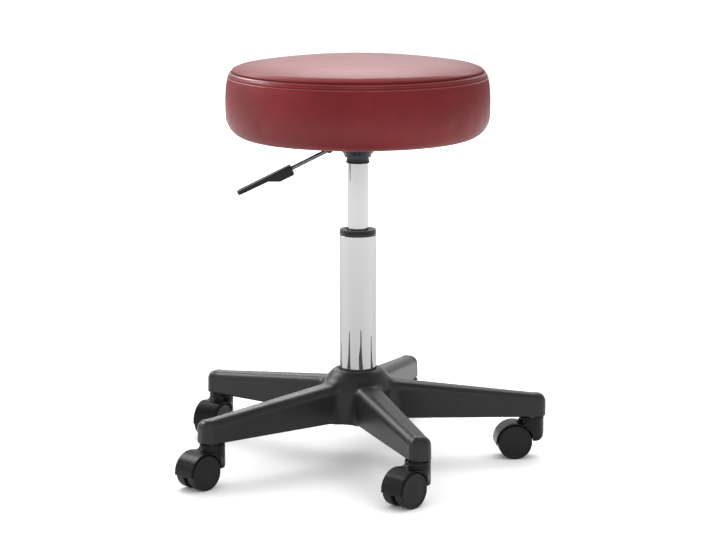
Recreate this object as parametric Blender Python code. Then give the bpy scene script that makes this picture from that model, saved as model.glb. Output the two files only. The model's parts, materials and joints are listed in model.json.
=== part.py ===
import math

import bmesh
import bpy
from mathutils import Matrix, Vector

# Clearances between neighbouring pieces, and the radius that counts as a point on the axis
SEAT_GAP = 0.0003
RUN_GAP = 0.0003
POLE = 1e-6

# Facets round each kind of turned piece, and along each kind of curve
CUSHION_SIDES = 36
HUB_SIDES = 30
COLUMN_SIDES = 24
WHEEL_SIDES = 20
RACE_SIDES = 16
SMALL_SIDES = 12
FASTENER_SIDES = 10
HEX_SIDES = 6
BALL_SIDES = 6
HOOD_STEPS = 9
WEB_STEPS = 6
ARC_STEPS = 4
EDGE_STEPS = 2

# Casters
CASTER_NAMES = ("right", "rear_right", "rear_left", "left", "front")
CASTER_TURNS = (184.5, 205.0, 242.0, 223.8, 225.5)
CASTER_CIRCLE = 0.2377
CASTER_TRAIL = 0.0245
CASTER_WIDTH = 0.036
WHEEL_RADIUS = 0.0235
WHEEL_EDGE = 0.0016
WHEEL_SIDE_GAP = 0.0008
AXLE_RADIUS = 0.003
AXLE_REACH = 0.0135
WEB_THICKNESS = 0.006
WEB_BOSS_RADIUS = 0.0072
WEB_BOSS_ANGLES = (205.0, 335.0)
HOOD_CLEARANCE = 0.001
HOOD_WALL = 0.0017
HOOD_SIDE_INSET = 0.0008
HOOD_LIP_ANGLE = -7.0
HOOD_BACK_ANGLE = 150.0
NECK_RADIUS = 0.0168
NECK_RISE = 0.0072
NECK_FOOT_RAISE = 0.0017
NECK_FOOT_HEIGHT = 0.0115
NECK_FOOT_RUN = 0.011
NECK_GAP = 0.0014
STEM_RADIUS = 0.0055
STEM_SEAT_DEPTH = 0.011
STEM_REACH = 0.0225
STEM_FLANGE_RADIUS = 0.0095
GRIP_DEPTH = 0.0013
GRIP_HEIGHT = 0.004
GRIP_DROP = 0.005
GRIP_WALL = 0.0008

# Five-legged base
LEG_TIP_REACH = 0.0189
LEG_TIP_HEIGHT = 0.0296
LEG_SLOPE = 0.103
LEG_TIP_HALF_WIDTH = 0.0145
LEG_WIDENING = 0.023
LEG_DRAFT = 0.0008
LEG_SHOULDER = 0.0092
LEG_SHOULDER_LIMIT = 0.95
LEG_CORNER = 0.011
LEG_ROOT_FILLET = 0.008
LEG_ROOT_ROOM = 0.0025
LEG_WALL = 0.0035
POCKET_COUNT = 4
RIB_THICKNESS = 0.003
SOCKET_WALL = 0.0045
HUB_RADIUS = 0.0495
HUB_HEIGHT = 0.0672
HUB_DROP = 0.0018
HUB_DOME_HEIGHT = 0.0245
HUB_DOME_POWER = 2.2
HUB_RIM = 0.0022
HUB_SLEEVE_WALL = 0.006
HUB_GROOVE = 0.0105
HUB_GROOVE_DEPTH = 0.03
HUB_FOOT_CHAMFER = 0.003

# Gas lift column
STAND_RADIUS = 0.025
STAND_WALL = 0.0015
STAND_EXPOSED = 0.1838
STAND_TAPER = 0.0012
STAND_FOOT_RAISE = 0.002
STAND_FLOOR = 0.003
RING_HEIGHT = 0.0074
RING_GROOVE = 0.0006
RING_GROOVE_RISE = 0.0025
RING_GROOVE_WIDTH = 0.0018
RING_LIP = 0.0009
SLEEVE_LENGTH = 0.1
LIFT_RADIUS = 0.014
LIFT_WALL = 0.0015
LIFT_EXPOSED = 0.09
LIFT_BURIED = 0.146
LIFT_TAPER = 0.0007
LIFT_NOSE = 0.0125
LIFT_HEAD = 0.012
GLAND_LENGTH = 0.02
PISTON_ROD_RADIUS = 0.005
PISTON_ROD_STEP = 0.001
PISTON_RISE = 0.07
PISTON_HEIGHT = 0.012
RACE_RADIUS = 0.0155
RACE_THICKNESS = 0.002
BALL_RADIUS = 0.002
BALL_COUNT = 6
BALL_CIRCLE = 0.0105
CAGE_THICKNESS = 0.0016
CAGE_MARGIN = 0.0034
BUMPER_HEIGHT = 0.012
BUMPER_RADIUS = 0.0115
CLIP_RADIUS = 0.0085
CLIP_THICKNESS = 0.0012
CLIP_MOUTH = 0.005
ROD_TAIL = 0.0022
PIN_RADIUS = 0.0035
PIN_BURIED = 0.014

# Seat carrier
COLLAR_RADIUS = 0.016
COLLAR_HEIGHT = 0.0081
COLLAR_CHAMFER = 0.001
SOCKET_FOOT_RADIUS = 0.0185
SOCKET_HEIGHT = 0.0252
SOCKET_LIP = 0.0016
SOCKET_THROAT_RADIUS = 0.0172
SOCKET_FLARE_RADIUS = 0.0275
SOCKET_FLARE_POWER = 1.5
SOCKET_FLANGE_RADIUS = 0.0312
SOCKET_FLANGE = 0.003
PLATE_HALF_SIDE = 0.08
PLATE_CORNER = 0.018
PLATE_THICKNESS = 0.003
PLATE_HOLE_RADIUS = 0.019
PLATE_RIM_DROP = 0.004
PLATE_RIM_WALL = 0.003
BOLT_EDGE = 0.0175
BOLT_RADIUS = 0.003
BOLT_HEAD_RADIUS = 0.0058
BOLT_HEAD_HEIGHT = 0.004
BOLT_LENGTH = 0.012
NUT_BARREL_RADIUS = 0.0042
NUT_FLANGE_RADIUS = 0.0095
NUT_FLANGE = 0.0016
NUT_LENGTH = 0.0095

# Height lever
LEVER_SLOPE = 26.5
LEVER_PIVOT_DROP = 0.0162
LEVER_ROD_RADIUS = 0.0029
LEVER_INNER_REACH = 0.047
LEVER_EYE_RADIUS = 0.0048
LEVER_EYE_WIDTH = 0.008
LEVER_PIN_RADIUS = 0.002
LEVER_PIN_HEAD_RADIUS = 0.0034
LEVER_PIN_HEAD = 0.0015
LEVER_PIN_TAIL = 0.001
EAR_THICKNESS = 0.0025
EAR_HALF_LENGTH = 0.006
EAR_ROOM = 0.0008
EAR_MARGIN = 0.002
SLOT_SIDE_ROOM = 0.0012
SLOT_DROP = 0.0035
PADDLE_START = 0.057
PADDLE_LENGTH = 0.0795
PADDLE_HALF_WIDTH = 0.011
PADDLE_SOCKET_LENGTH = 0.021
PADDLE_SHOULDER = 0.014
PADDLE_ABOVE = 0.0052
PADDLE_SOCKET_THICKNESS = 0.0136
PADDLE_BLADE_ROOT = 0.0064
PADDLE_BLADE_TIP = 0.0056
PADDLE_ROD_DEPTH = 0.016
PADDLE_EDGE = 0.0012
PADDLE_CORNER = 0.006

# Seat
SEAT_RADIUS = 0.1768
SEAT_THICKNESS = 0.1082
SEAT_CROWN = 0.014
SEAT_TOP_RADIUS = 0.161
SEAT_TOP_ROLL = 0.006
SEAT_WELT = 0.0066
SEAT_GROOVE = 0.0014
SEAT_ROLL_TUCK = 0.0028
SEAT_LOWER_GROOVE = 0.0022
SEAT_LINING_TUCK = 0.0056
CROWN_SHARES = (0.0, 0.35, 0.65, 0.87, 1.0)
ROLL_ANGLES = (45.0, 90.0)
WELT_SHARES = (0.12, 0.5, 0.88)
LINING_SHARES = (0.0, 0.6, 0.96)
SEAT_SIDE_BULGE = 0.234
SEAT_BULGE_HEIGHT = 0.0452
SEAT_FOOT_ROUND = 0.031
COVER_THICKNESS = 0.0018
HEM_ROOM = 0.0076
BOARD_THICKNESS = 0.012
BOARD_HOLE_RADIUS = 0.021

# Display only
SMOOTH_ANGLE = 32.0
AXIS_DISPLAY_SIZE = 0.03

# Heights, each stacked on the one before it
AXLE_HEIGHT = WHEEL_RADIUS * math.cos(math.pi / WHEEL_SIDES)
WELL_RADIUS = WHEEL_RADIUS + HOOD_CLEARANCE
HOOD_RADIUS = WELL_RADIUS + HOOD_WALL
NECK_TOP = AXLE_HEIGHT + HOOD_RADIUS + NECK_RISE
LEG_UNDERSIDE = NECK_TOP + NECK_GAP
HUB_FOOT = LEG_UNDERSIDE - HUB_DROP
HUB_TOP = LEG_UNDERSIDE + HUB_HEIGHT
STAND_FOOT = LEG_UNDERSIDE + STAND_FOOT_RAISE
STAND_TOP = HUB_TOP + STAND_EXPOSED
STAND_BORE = STAND_RADIUS - STAND_WALL
RING_FOOT = STAND_TOP + SEAT_GAP
RING_TOP = RING_FOOT + RING_HEIGHT
COLLAR_FOOT = RING_TOP + LIFT_EXPOSED
SOCKET_FOOT = COLLAR_FOOT + COLLAR_HEIGHT + SEAT_GAP
SOCKET_TOP = SOCKET_FOOT + SOCKET_HEIGHT
PLATE_FOOT = SOCKET_TOP + SEAT_GAP
PLATE_TOP = PLATE_FOOT + PLATE_THICKNESS
BOARD_FOOT = PLATE_TOP + SEAT_GAP
BOARD_TOP = BOARD_FOOT + BOARD_THICKNESS
SEAT_FOOT = BOARD_FOOT - SEAT_GAP - COVER_THICKNESS
SEAT_TOP = SEAT_FOOT + SEAT_THICKNESS
LIFT_FOOT = RING_TOP - LIFT_BURIED
LIFT_TOP = SOCKET_FOOT + LIFT_NOSE
RACE_FOOT = STAND_FOOT + STAND_FLOOR + SEAT_GAP
BALL_HEIGHT = RACE_FOOT + RACE_THICKNESS + RUN_GAP + BALL_RADIUS
UPPER_RACE_FOOT = BALL_HEIGHT + BALL_RADIUS + RUN_GAP
ROD_SHOULDER = UPPER_RACE_FOOT + RACE_THICKNESS + SEAT_GAP
BUMPER_FOOT = UPPER_RACE_FOOT + RACE_THICKNESS + SEAT_GAP
CLIP_TOP = STAND_FOOT - RUN_GAP
PISTON_FOOT = LIFT_FOOT + PISTON_RISE
LEVER_PIVOT_HEIGHT = PLATE_FOOT - LEVER_PIVOT_DROP
LEVER_TILT = math.radians(LEVER_SLOPE)
LEVER_PIVOT_REACH = SOCKET_FLANGE_RADIUS + EAR_ROOM + EAR_HALF_LENGTH
LEVER_AXIS_HEIGHT = LEVER_PIVOT_HEIGHT + LEVER_PIVOT_REACH * math.tan(LEVER_TILT)
LEVER_UNDERSIDE = LEVER_AXIS_HEIGHT - LEVER_ROD_RADIUS / math.cos(LEVER_TILT)
PIN_TOP = LEVER_UNDERSIDE - PIN_RADIUS * math.tan(LEVER_TILT) - SEAT_GAP
LEG_REACH = CASTER_CIRCLE + LEG_TIP_REACH
CASTER_COUNT = len(CASTER_NAMES)
LEG_STEP = math.tau / CASTER_COUNT


def clear_scene():
    for old in list(bpy.data.objects):
        bpy.data.objects.remove(old, do_unlink=True)


def make_finish(name, colour, roughness, metallic):
    finish = bpy.data.materials.new(name)
    finish.use_nodes = True
    shader = finish.node_tree.nodes["Principled BSDF"]
    shader.inputs["Base Color"].default_value = (*colour, 1.0)
    shader.inputs["Roughness"].default_value = roughness
    shader.inputs["Metallic"].default_value = metallic
    finish.diffuse_color = (*colour, 1.0)
    return finish


def arc(centre, radius, start, end, steps=ARC_STEPS):
    points = []
    for step in range(steps + 1):
        angle = math.radians(start + (end - start) * step / steps)
        points.append((centre[0] + radius * math.cos(angle), centre[1] + radius * math.sin(angle)))
    return points


def mesh_from(form, name):
    bmesh.ops.recalc_face_normals(form, faces=form.faces)
    mesh = bpy.data.meshes.new(name)
    form.to_mesh(mesh)
    form.free()
    return mesh


def lathe(name, profile, sides, turn=0.0):
    # A closed profile of (radius, height) points turned about Z; points on the axis become poles
    form = bmesh.new()
    rings = []
    for radius, height in profile:
        angles = [turn + math.tau * side / sides for side in range(sides)]
        if radius < POLE:
            rings.append([form.verts.new((0.0, 0.0, height))])
        else:
            rings.append(
                [form.verts.new((radius * math.cos(a), radius * math.sin(a), height)) for a in angles]
            )
    for ring, following in zip(rings, rings[1:] + rings[:1]):
        for side in range(sides):
            after = (side + 1) % sides
            corners = (
                ring[side % len(ring)],
                ring[after % len(ring)],
                following[after % len(following)],
                following[side % len(following)],
            )
            corners = list(dict.fromkeys(corners))
            if len(corners) > 2:
                form.faces.new(corners)
    return mesh_from(form, name)


def tube_profile(inner, outer, low, high):
    return [(inner, high), (outer, high), (outer, low), (inner, low)]


def loft(name, sections):
    # Rings with the same number of points, bridged in order and capped at both ends
    form = bmesh.new()
    rings = [[form.verts.new(point) for point in section] for section in sections]
    count = len(rings[0])
    for ring, following in zip(rings, rings[1:]):
        for index in range(count):
            after = (index + 1) % count
            form.faces.new((ring[index], ring[after], following[after], following[index]))
    form.faces.new(rings[0])
    form.faces.new(rings[-1])
    return mesh_from(form, name)


def slab(name, outline, low, high, axis="Z"):
    # A flat outline extruded along Z, or an outline of (x, z) points extruded along Y
    if axis == "Z":
        return loft(name, [[(x, y, level) for x, y in outline] for level in (low, high)])
    return loft(name, [[(x, level, z) for x, z in outline] for level in (low, high)])


def rod_mesh(name, radius, start, end, sides):
    # A straight round bar between two points
    start, end = Vector(start), Vector(end)
    span = end - start
    mesh = lathe(name, [(0.0, span.length), (radius, span.length), (radius, 0.0), (0.0, 0.0)], sides)
    mesh.transform(Matrix.Translation(start) @ span.to_track_quat("Z", "Y").to_matrix().to_4x4())
    return mesh


def rounded_rectangle(half_x, half_y, corner, steps=ARC_STEPS):
    points = []
    for quarter, (side_x, side_y) in enumerate(((1, 1), (-1, 1), (-1, -1), (1, -1))):
        centre = (side_x * (half_x - corner), side_y * (half_y - corner))
        points += arc(centre, corner, 90 * quarter, 90 * quarter + 90, steps)
    return points


def add_helper(mesh):
    helper = bpy.data.objects.new(mesh.name, mesh)
    helper.hide_render = True
    helper.display_type = "WIRE"
    bpy.context.scene.collection.objects.link(helper)
    return helper


def combine(name, mesh, steps):
    # Runs Boolean steps of (operation, mesh) on a mesh and gives back the finished mesh
    body = add_helper(mesh)
    helpers = []
    for operation, other in steps:
        helper = add_helper(other)
        cut = body.modifiers.new(operation, "BOOLEAN")
        cut.operation = operation
        cut.solver = "EXACT"
        cut.object = helper
        helpers.append(helper)
    graph = bpy.context.evaluated_depsgraph_get()
    result = bpy.data.meshes.new_from_object(body.evaluated_get(graph))
    result.name = name
    for helper in [body, *helpers]:
        bpy.data.objects.remove(helper, do_unlink=True)
    return result


def joined(name, meshes):
    # Separate bodies in one mesh, for a cutter that repeats
    form = bmesh.new()
    for mesh in meshes:
        form.from_mesh(mesh)
    return mesh_from(form, name)


def turned_copy(mesh, angle):
    copy = mesh.copy()
    copy.transform(Matrix.Rotation(angle, 4, "Z"))
    return copy


def place(name, mesh, finish, parent, location=(0.0, 0.0, 0.0), rotation=(0.0, 0.0, 0.0)):
    piece = bpy.data.objects.new(name, mesh)
    bpy.context.scene.collection.objects.link(piece)
    if not mesh.materials:
        mesh.materials.append(finish)
        mesh.shade_smooth()
        mesh.set_sharp_from_angle(angle=math.radians(SMOOTH_ANGLE))
    piece.parent = parent
    piece.location = location
    piece.rotation_euler = rotation
    return piece


def add_axis(name, location, rotation=(0.0, 0.0, 0.0), parent=None):
    axis = bpy.data.objects.new(name, None)
    axis.empty_display_size = AXIS_DISPLAY_SIZE
    axis.location = location
    axis.rotation_euler = rotation
    axis.parent = parent
    bpy.context.scene.collection.objects.link(axis)
    return axis


# Five-legged base


def plain_half_width(reach):
    return LEG_TIP_HALF_WIDTH + LEG_WIDENING * (CASTER_CIRCLE - min(reach, CASTER_CIRCLE))


def root_fillet():
    # The fillet beside a leg stops short of the next leg's fillet
    room = HUB_RADIUS * math.sin(LEG_STEP / 2) - plain_half_width(HUB_RADIUS) - LEG_ROOT_ROOM
    return min(LEG_ROOT_FILLET, room)


def leg_half_width(reach):
    # Legs widen towards the hub and end in a fillet against its wall; the tip has round corners in plan
    width = plain_half_width(reach)
    fillet = root_fillet()
    root = HUB_RADIUS + fillet - reach
    if 0.0 < root <= fillet + POLE:
        width += fillet - math.sqrt(max(fillet**2 - root**2, 0.0))
    past = reach - (LEG_REACH - LEG_CORNER)
    if past > 0.0:
        width -= LEG_CORNER - math.sqrt(max(LEG_CORNER**2 - past**2, 0.0))
    return width


def leg_height(reach):
    height = LEG_TIP_HEIGHT + LEG_SLOPE * (CASTER_CIRCLE - min(reach, CASTER_CIRCLE))
    past = reach - (LEG_REACH - LEG_SHOULDER)
    if past > 0.0:
        height -= LEG_SHOULDER - math.sqrt(max(LEG_SHOULDER**2 - past**2, 0.0))
    return height


def leg_section(reach):
    half = leg_half_width(reach)
    top = LEG_UNDERSIDE + leg_height(reach)
    shoulder = min(LEG_SHOULDER, half * LEG_SHOULDER_LIMIT)
    right = [(half + LEG_DRAFT, LEG_UNDERSIDE)]
    right += arc((half - shoulder, top - shoulder), shoulder, 0, 90)
    left = [(-y, z) for y, z in reversed(right)]
    return [(reach, y, z) for y, z in right + left]


def leg_mesh():
    reaches = [STAND_RADIUS]
    for step in range(ARC_STEPS):
        reaches.append(HUB_RADIUS + root_fillet() * (1 - math.cos(math.pi / 2 * step / ARC_STEPS)))
    reaches += [HUB_RADIUS + root_fillet(), CASTER_CIRCLE]
    for step in range(ARC_STEPS + 1):
        reaches.append(LEG_REACH - LEG_CORNER * (1 - math.sin(math.pi / 2 * step / ARC_STEPS)))
    return loft("leg", [leg_section(reach) for reach in reaches])


def pocket_meshes():
    # Hollows between the cross ribs under one leg
    start = HUB_RADIUS + root_fillet() + LEG_WALL
    end = CASTER_CIRCLE - STEM_RADIUS - SOCKET_WALL
    pitch = (end - start + RIB_THICKNESS) / POCKET_COUNT
    pockets = []
    for index in range(POCKET_COUNT):
        low = start + pitch * index
        sections = []
        for reach in (low, low + pitch - RIB_THICKNESS):
            half = leg_half_width(reach) - LEG_WALL
            roof = LEG_UNDERSIDE + leg_height(reach) - LEG_WALL - LEG_SHOULDER / 2
            floor = HUB_FOOT
            sections.append(
                [
                    (reach, half, floor),
                    (reach, half, roof - LEG_SHOULDER / 2),
                    (reach, half - LEG_SHOULDER / 2, roof),
                    (reach, LEG_SHOULDER / 2 - half, roof),
                    (reach, -half, roof - LEG_SHOULDER / 2),
                    (reach, -half, floor),
                ]
            )
        pockets.append(loft("pocket", sections))
    return pockets


def stand_radius(height):
    # The stand tube tapers where it sits in the hub
    share = min(max((HUB_TOP - height) / (HUB_TOP - STAND_FOOT), 0.0), 1.0)
    return STAND_RADIUS - STAND_TAPER * share


def base_mesh():
    dome_foot = HUB_TOP - HUB_DOME_HEIGHT
    rim = STAND_RADIUS + SEAT_GAP + HUB_RIM
    dome = []
    for step in range(ARC_STEPS + 2):
        angle = math.pi / 2 * step / (ARC_STEPS + 1)
        rise = HUB_DOME_HEIGHT * math.cos(angle) ** HUB_DOME_POWER
        dome.append((rim + (HUB_RADIUS - rim) * math.sin(angle), dome_foot + rise))
    hub = lathe(
        "hub",
        [
            (0.0, HUB_TOP),
            *dome,
            (HUB_RADIUS, HUB_FOOT + HUB_FOOT_CHAMFER),
            (HUB_RADIUS - HUB_FOOT_CHAMFER, HUB_FOOT),
            (0.0, HUB_FOOT),
        ],
        HUB_SIDES,
    )
    leg = leg_mesh()
    legs = [turned_copy(leg, LEG_STEP * index) for index in range(CASTER_COUNT)]
    over = LEG_WALL
    bore = lathe(
        "bore",
        [
            (0.0, HUB_TOP + over),
            (STAND_RADIUS + SEAT_GAP, HUB_TOP + over),
            (STAND_RADIUS + SEAT_GAP, HUB_TOP),
            (stand_radius(STAND_FOOT) + SEAT_GAP, STAND_FOOT),
            (stand_radius(STAND_FOOT) + SEAT_GAP, HUB_FOOT - over),
            (0.0, HUB_FOOT - over),
        ],
        COLUMN_SIDES,
    )
    sleeve = STAND_RADIUS + SEAT_GAP + HUB_SLEEVE_WALL
    groove = lathe(
        "groove",
        tube_profile(sleeve, sleeve + HUB_GROOVE, HUB_FOOT - over, HUB_FOOT + HUB_GROOVE_DEPTH),
        COLUMN_SIDES,
    )
    socket = lathe(
        "socket",
        [
            (0.0, LEG_UNDERSIDE + STEM_REACH + SEAT_GAP),
            (STEM_RADIUS + RUN_GAP, LEG_UNDERSIDE + STEM_REACH + SEAT_GAP),
            (STEM_RADIUS + RUN_GAP, HUB_FOOT),
            (0.0, HUB_FOOT),
        ],
        SMALL_SIDES,
    )
    socket.transform(Matrix.Translation((CASTER_CIRCLE, 0.0, 0.0)))
    hollows = [bore, groove]
    for index in range(CASTER_COUNT):
        hollows += [turned_copy(mesh, LEG_STEP * index) for mesh in [*pocket_meshes(), socket]]
    steps = [("UNION", mesh) for mesh in legs]
    steps.append(("DIFFERENCE", joined("hollows", hollows)))
    return combine("star_base", hub, steps)


# Casters


def hood_mesh():
    # Local frame: the stem is on Z, the wheels trail along +X and the axle lies along Y
    axle = (CASTER_TRAIL, AXLE_HEIGHT)
    half = CASTER_WIDTH / 2 - HOOD_SIDE_INSET
    outline = arc(axle, HOOD_RADIUS, HOOD_LIP_ANGLE, HOOD_BACK_ANGLE, HOOD_STEPS)
    outline += arc(axle, WEB_BOSS_RADIUS, *WEB_BOSS_ANGLES, WEB_STEPS)
    fender = slab("hood", outline, -half, half, "Y")
    foot = AXLE_HEIGHT + NECK_FOOT_RAISE
    over = NECK_TOP + NECK_GAP
    far = NECK_RADIUS * 2
    neck_side = [(-far, over), (-far, foot + NECK_FOOT_HEIGHT), (-NECK_RADIUS, foot + NECK_FOOT_HEIGHT)]
    for step in range(1, ARC_STEPS + 1):
        angle = math.pi / 2 * step / ARC_STEPS
        run = NECK_FOOT_RUN * (1 - math.cos(angle))
        neck_side.append((-NECK_RADIUS + run, foot + NECK_FOOT_HEIGHT * (1 - math.sin(angle))))
    neck_side += [(far, foot), (far, over)]
    neck = lathe(
        "neck",
        [(0.0, NECK_TOP), (NECK_RADIUS, NECK_TOP), (NECK_RADIUS, foot - NECK_GAP), (0.0, foot - NECK_GAP)],
        WHEEL_SIDES,
    )
    neck = combine("neck", neck, [("INTERSECT", slab("neck_side", neck_side, -far, far, "Y"))])
    # One well for each wheel, with a web left between them
    wells = []
    for side in (-1, 1):
        inner = side * WEB_THICKNESS / 2
        outer = side * CASTER_WIDTH
        ring = arc(axle, WELL_RADIUS, 0, 360 - 360 / WHEEL_SIDES, WHEEL_SIDES - 1)
        wells.append(slab("well", ring, min(inner, outer), max(inner, outer), "Y"))
    axle_bore = rod_mesh(
        "axle_bore",
        AXLE_RADIUS + SEAT_GAP,
        (CASTER_TRAIL, -CASTER_WIDTH, AXLE_HEIGHT),
        (CASTER_TRAIL, CASTER_WIDTH, AXLE_HEIGHT),
        SMALL_SIDES,
    )
    stem_foot = NECK_TOP - STEM_SEAT_DEPTH - SEAT_GAP
    stem_bore = lathe(
        "stem_bore",
        [(0.0, over), (STEM_RADIUS + SEAT_GAP, over), (STEM_RADIUS + SEAT_GAP, stem_foot), (0.0, stem_foot)],
        SMALL_SIDES,
    )
    steps = [("UNION", neck), ("DIFFERENCE", joined("wells", wells))]
    steps += [("DIFFERENCE", axle_bore), ("DIFFERENCE", stem_bore)]
    return combine("caster_hood", fender, steps)


def stem_mesh():
    flange_foot = NECK_TOP + SEAT_GAP
    flange_top = LEG_UNDERSIDE - RUN_GAP
    top = LEG_UNDERSIDE + STEM_REACH
    groove_top = top - GRIP_DROP
    groove_foot = groove_top - GRIP_HEIGHT
    waist = STEM_RADIUS - GRIP_DEPTH
    return lathe(
        "caster_stem",
        [
            (0.0, top),
            (STEM_RADIUS, top),
            (STEM_RADIUS, groove_top),
            (waist, groove_top),
            (waist, groove_foot),
            (STEM_RADIUS, groove_foot),
            (STEM_RADIUS, flange_top),
            (STEM_FLANGE_RADIUS, flange_top),
            (STEM_FLANGE_RADIUS, flange_foot),
            (STEM_RADIUS, flange_foot),
            (STEM_RADIUS, NECK_TOP - STEM_SEAT_DEPTH),
            (0.0, NECK_TOP - STEM_SEAT_DEPTH),
        ],
        SMALL_SIDES,
    )


def grip_ring_mesh():
    groove_top = LEG_UNDERSIDE + STEM_REACH - GRIP_DROP
    inner = STEM_RADIUS - GRIP_DEPTH + RUN_GAP
    return lathe(
        "grip_ring",
        tube_profile(
            inner, inner + GRIP_WALL, groove_top - GRIP_HEIGHT + RUN_GAP, groove_top - RUN_GAP
        ),
        SMALL_SIDES,
    )


def wheel_mesh():
    # Turned about its own axle: height 0 is the face against the web, and the outer face is closed
    width = CASTER_WIDTH / 2 - WEB_THICKNESS / 2 - WHEEL_SIDE_GAP
    bore = AXLE_RADIUS + RUN_GAP
    bore_end = AXLE_REACH - WEB_THICKNESS / 2 - WHEEL_SIDE_GAP + RUN_GAP
    return lathe(
        "caster_wheel",
        [
            (0.0, width),
            (WHEEL_RADIUS - WHEEL_EDGE, width),
            (WHEEL_RADIUS, width - WHEEL_EDGE),
            (WHEEL_RADIUS, WHEEL_EDGE),
            (WHEEL_RADIUS - WHEEL_EDGE, 0.0),
            (bore, 0.0),
            (bore, bore_end),
            (0.0, bore_end),
        ],
        WHEEL_SIDES,
        math.pi / WHEEL_SIDES,
    )


def add_casters(base_axis, finishes):
    hood = hood_mesh()
    stem = stem_mesh()
    ring = grip_ring_mesh()
    wheel = wheel_mesh()
    axle = rod_mesh("axle", AXLE_RADIUS, (0.0, -AXLE_REACH, 0.0), (0.0, AXLE_REACH, 0.0), SMALL_SIDES)
    inner_face = WEB_THICKNESS / 2 + WHEEL_SIDE_GAP
    for index, name in enumerate(CASTER_NAMES):
        angle = LEG_STEP * index
        spot = (CASTER_CIRCLE * math.cos(angle), CASTER_CIRCLE * math.sin(angle), 0.0)
        swivel = add_axis(
            f"swivel_axis_{name}", spot, (0.0, 0.0, math.radians(CASTER_TURNS[index])), base_axis
        )
        place(f"caster_hood_{name}", hood, finishes["hood"], swivel)
        place(f"caster_stem_{name}", stem, finishes["steel"], swivel)
        place(f"grip_ring_{name}", ring, finishes["steel"], base_axis, spot)
        middle = (CASTER_TRAIL, 0.0, AXLE_HEIGHT)
        place(f"caster_axle_{name}", axle, finishes["steel"], swivel, middle)
        for side, label in ((1, "left"), (-1, "right")):
            face = (CASTER_TRAIL, side * inner_face, AXLE_HEIGHT)
            tilt = (-side * math.pi / 2, 0.0, 0.0)
            place(f"wheel_{name}_{label}", wheel, finishes["wheel"], swivel, face, tilt)


# Gas lift column


def stand_tube_mesh():
    hole = PISTON_ROD_RADIUS - PISTON_ROD_STEP + RUN_GAP
    floor = STAND_FOOT + STAND_FLOOR
    return lathe(
        "stand_tube",
        [
            (STAND_BORE, STAND_TOP),
            (STAND_RADIUS, STAND_TOP),
            (STAND_RADIUS, HUB_TOP),
            (stand_radius(STAND_FOOT), STAND_FOOT),
            (hole, STAND_FOOT),
            (hole, floor),
            (stand_radius(floor) - STAND_WALL, floor),
            (STAND_BORE, HUB_TOP),
        ],
        COLUMN_SIDES,
    )


def guide_sleeve_mesh():
    bore = LIFT_RADIUS + RUN_GAP
    snug = STAND_BORE - SEAT_GAP
    groove_foot = RING_FOOT + RING_GROOVE_RISE
    return lathe(
        "guide_sleeve",
        [
            (bore, RING_TOP),
            (STAND_RADIUS - RING_LIP, RING_TOP),
            (STAND_RADIUS, RING_TOP - RING_LIP),
            (STAND_RADIUS, groove_foot + RING_GROOVE_WIDTH),
            (STAND_RADIUS - RING_GROOVE, groove_foot + RING_GROOVE_WIDTH / 2),
            (STAND_RADIUS, groove_foot),
            (STAND_RADIUS, RING_FOOT),
            (snug, RING_FOOT),
            (snug, RING_FOOT - SLEEVE_LENGTH),
            (bore, RING_FOOT - SLEEVE_LENGTH),
        ],
        COLUMN_SIDES,
    )


def ball_cage_mesh():
    cage = lathe(
        "ball_cage",
        tube_profile(
            BALL_CIRCLE - CAGE_MARGIN,
            BALL_CIRCLE + CAGE_MARGIN,
            BALL_HEIGHT - CAGE_THICKNESS / 2,
            BALL_HEIGHT + CAGE_THICKNESS / 2,
        ),
        RACE_SIDES,
    )
    balls = []
    for index in range(BALL_COUNT):
        angle = math.tau * (index + 0.5) / BALL_COUNT
        ball = lathe("ball", arc((0.0, 0.0), BALL_RADIUS, 90, -90), BALL_SIDES)
        spot = (BALL_CIRCLE * math.cos(angle), BALL_CIRCLE * math.sin(angle), BALL_HEIGHT)
        ball.transform(Matrix.Translation(spot))
        balls.append(ball)
    return combine("ball_cage", cage, [("UNION", joined("balls", balls))])


def retaining_clip_mesh():
    groove = PISTON_ROD_RADIUS - PISTON_ROD_STEP * 2 + SEAT_GAP
    ring = lathe(
        "retaining_clip",
        tube_profile(groove, CLIP_RADIUS, CLIP_TOP - CLIP_THICKNESS, CLIP_TOP),
        RACE_SIDES,
    )
    mouth = rounded_rectangle(CLIP_RADIUS, CLIP_MOUTH / 2, CLIP_MOUTH / 4, EDGE_STEPS)
    cutter = slab("mouth", mouth, CLIP_TOP - CLIP_THICKNESS * 2, CLIP_TOP + CLIP_THICKNESS)
    cutter.transform(Matrix.Translation((CLIP_RADIUS, 0.0, 0.0)))
    return combine("retaining_clip", ring, [("DIFFERENCE", cutter)])


def piston_rod_mesh():
    tail = PISTON_ROD_RADIUS - PISTON_ROD_STEP
    groove = PISTON_ROD_RADIUS - PISTON_ROD_STEP * 2
    clip_foot = CLIP_TOP - CLIP_THICKNESS
    piston_radius = LIFT_RADIUS - LIFT_WALL - RUN_GAP
    top = PISTON_FOOT + PISTON_HEIGHT
    return lathe(
        "piston_rod",
        [
            (0.0, top),
            (piston_radius, top),
            (piston_radius, PISTON_FOOT),
            (PISTON_ROD_RADIUS, PISTON_FOOT),
            (PISTON_ROD_RADIUS, ROD_SHOULDER),
            (tail, ROD_SHOULDER),
            (tail, CLIP_TOP + SEAT_GAP),
            (groove, CLIP_TOP + SEAT_GAP),
            (groove, clip_foot - SEAT_GAP),
            (tail, clip_foot - SEAT_GAP),
            (tail, clip_foot - ROD_TAIL),
            (0.0, clip_foot - ROD_TAIL),
        ],
        RACE_SIDES,
    )


def lift_radius(height):
    # The lift tube tapers where it sits in the seat socket
    share = min(max((height - SOCKET_FOOT) / LIFT_NOSE, 0.0), 1.0)
    return LIFT_RADIUS - LIFT_TAPER * share


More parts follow.
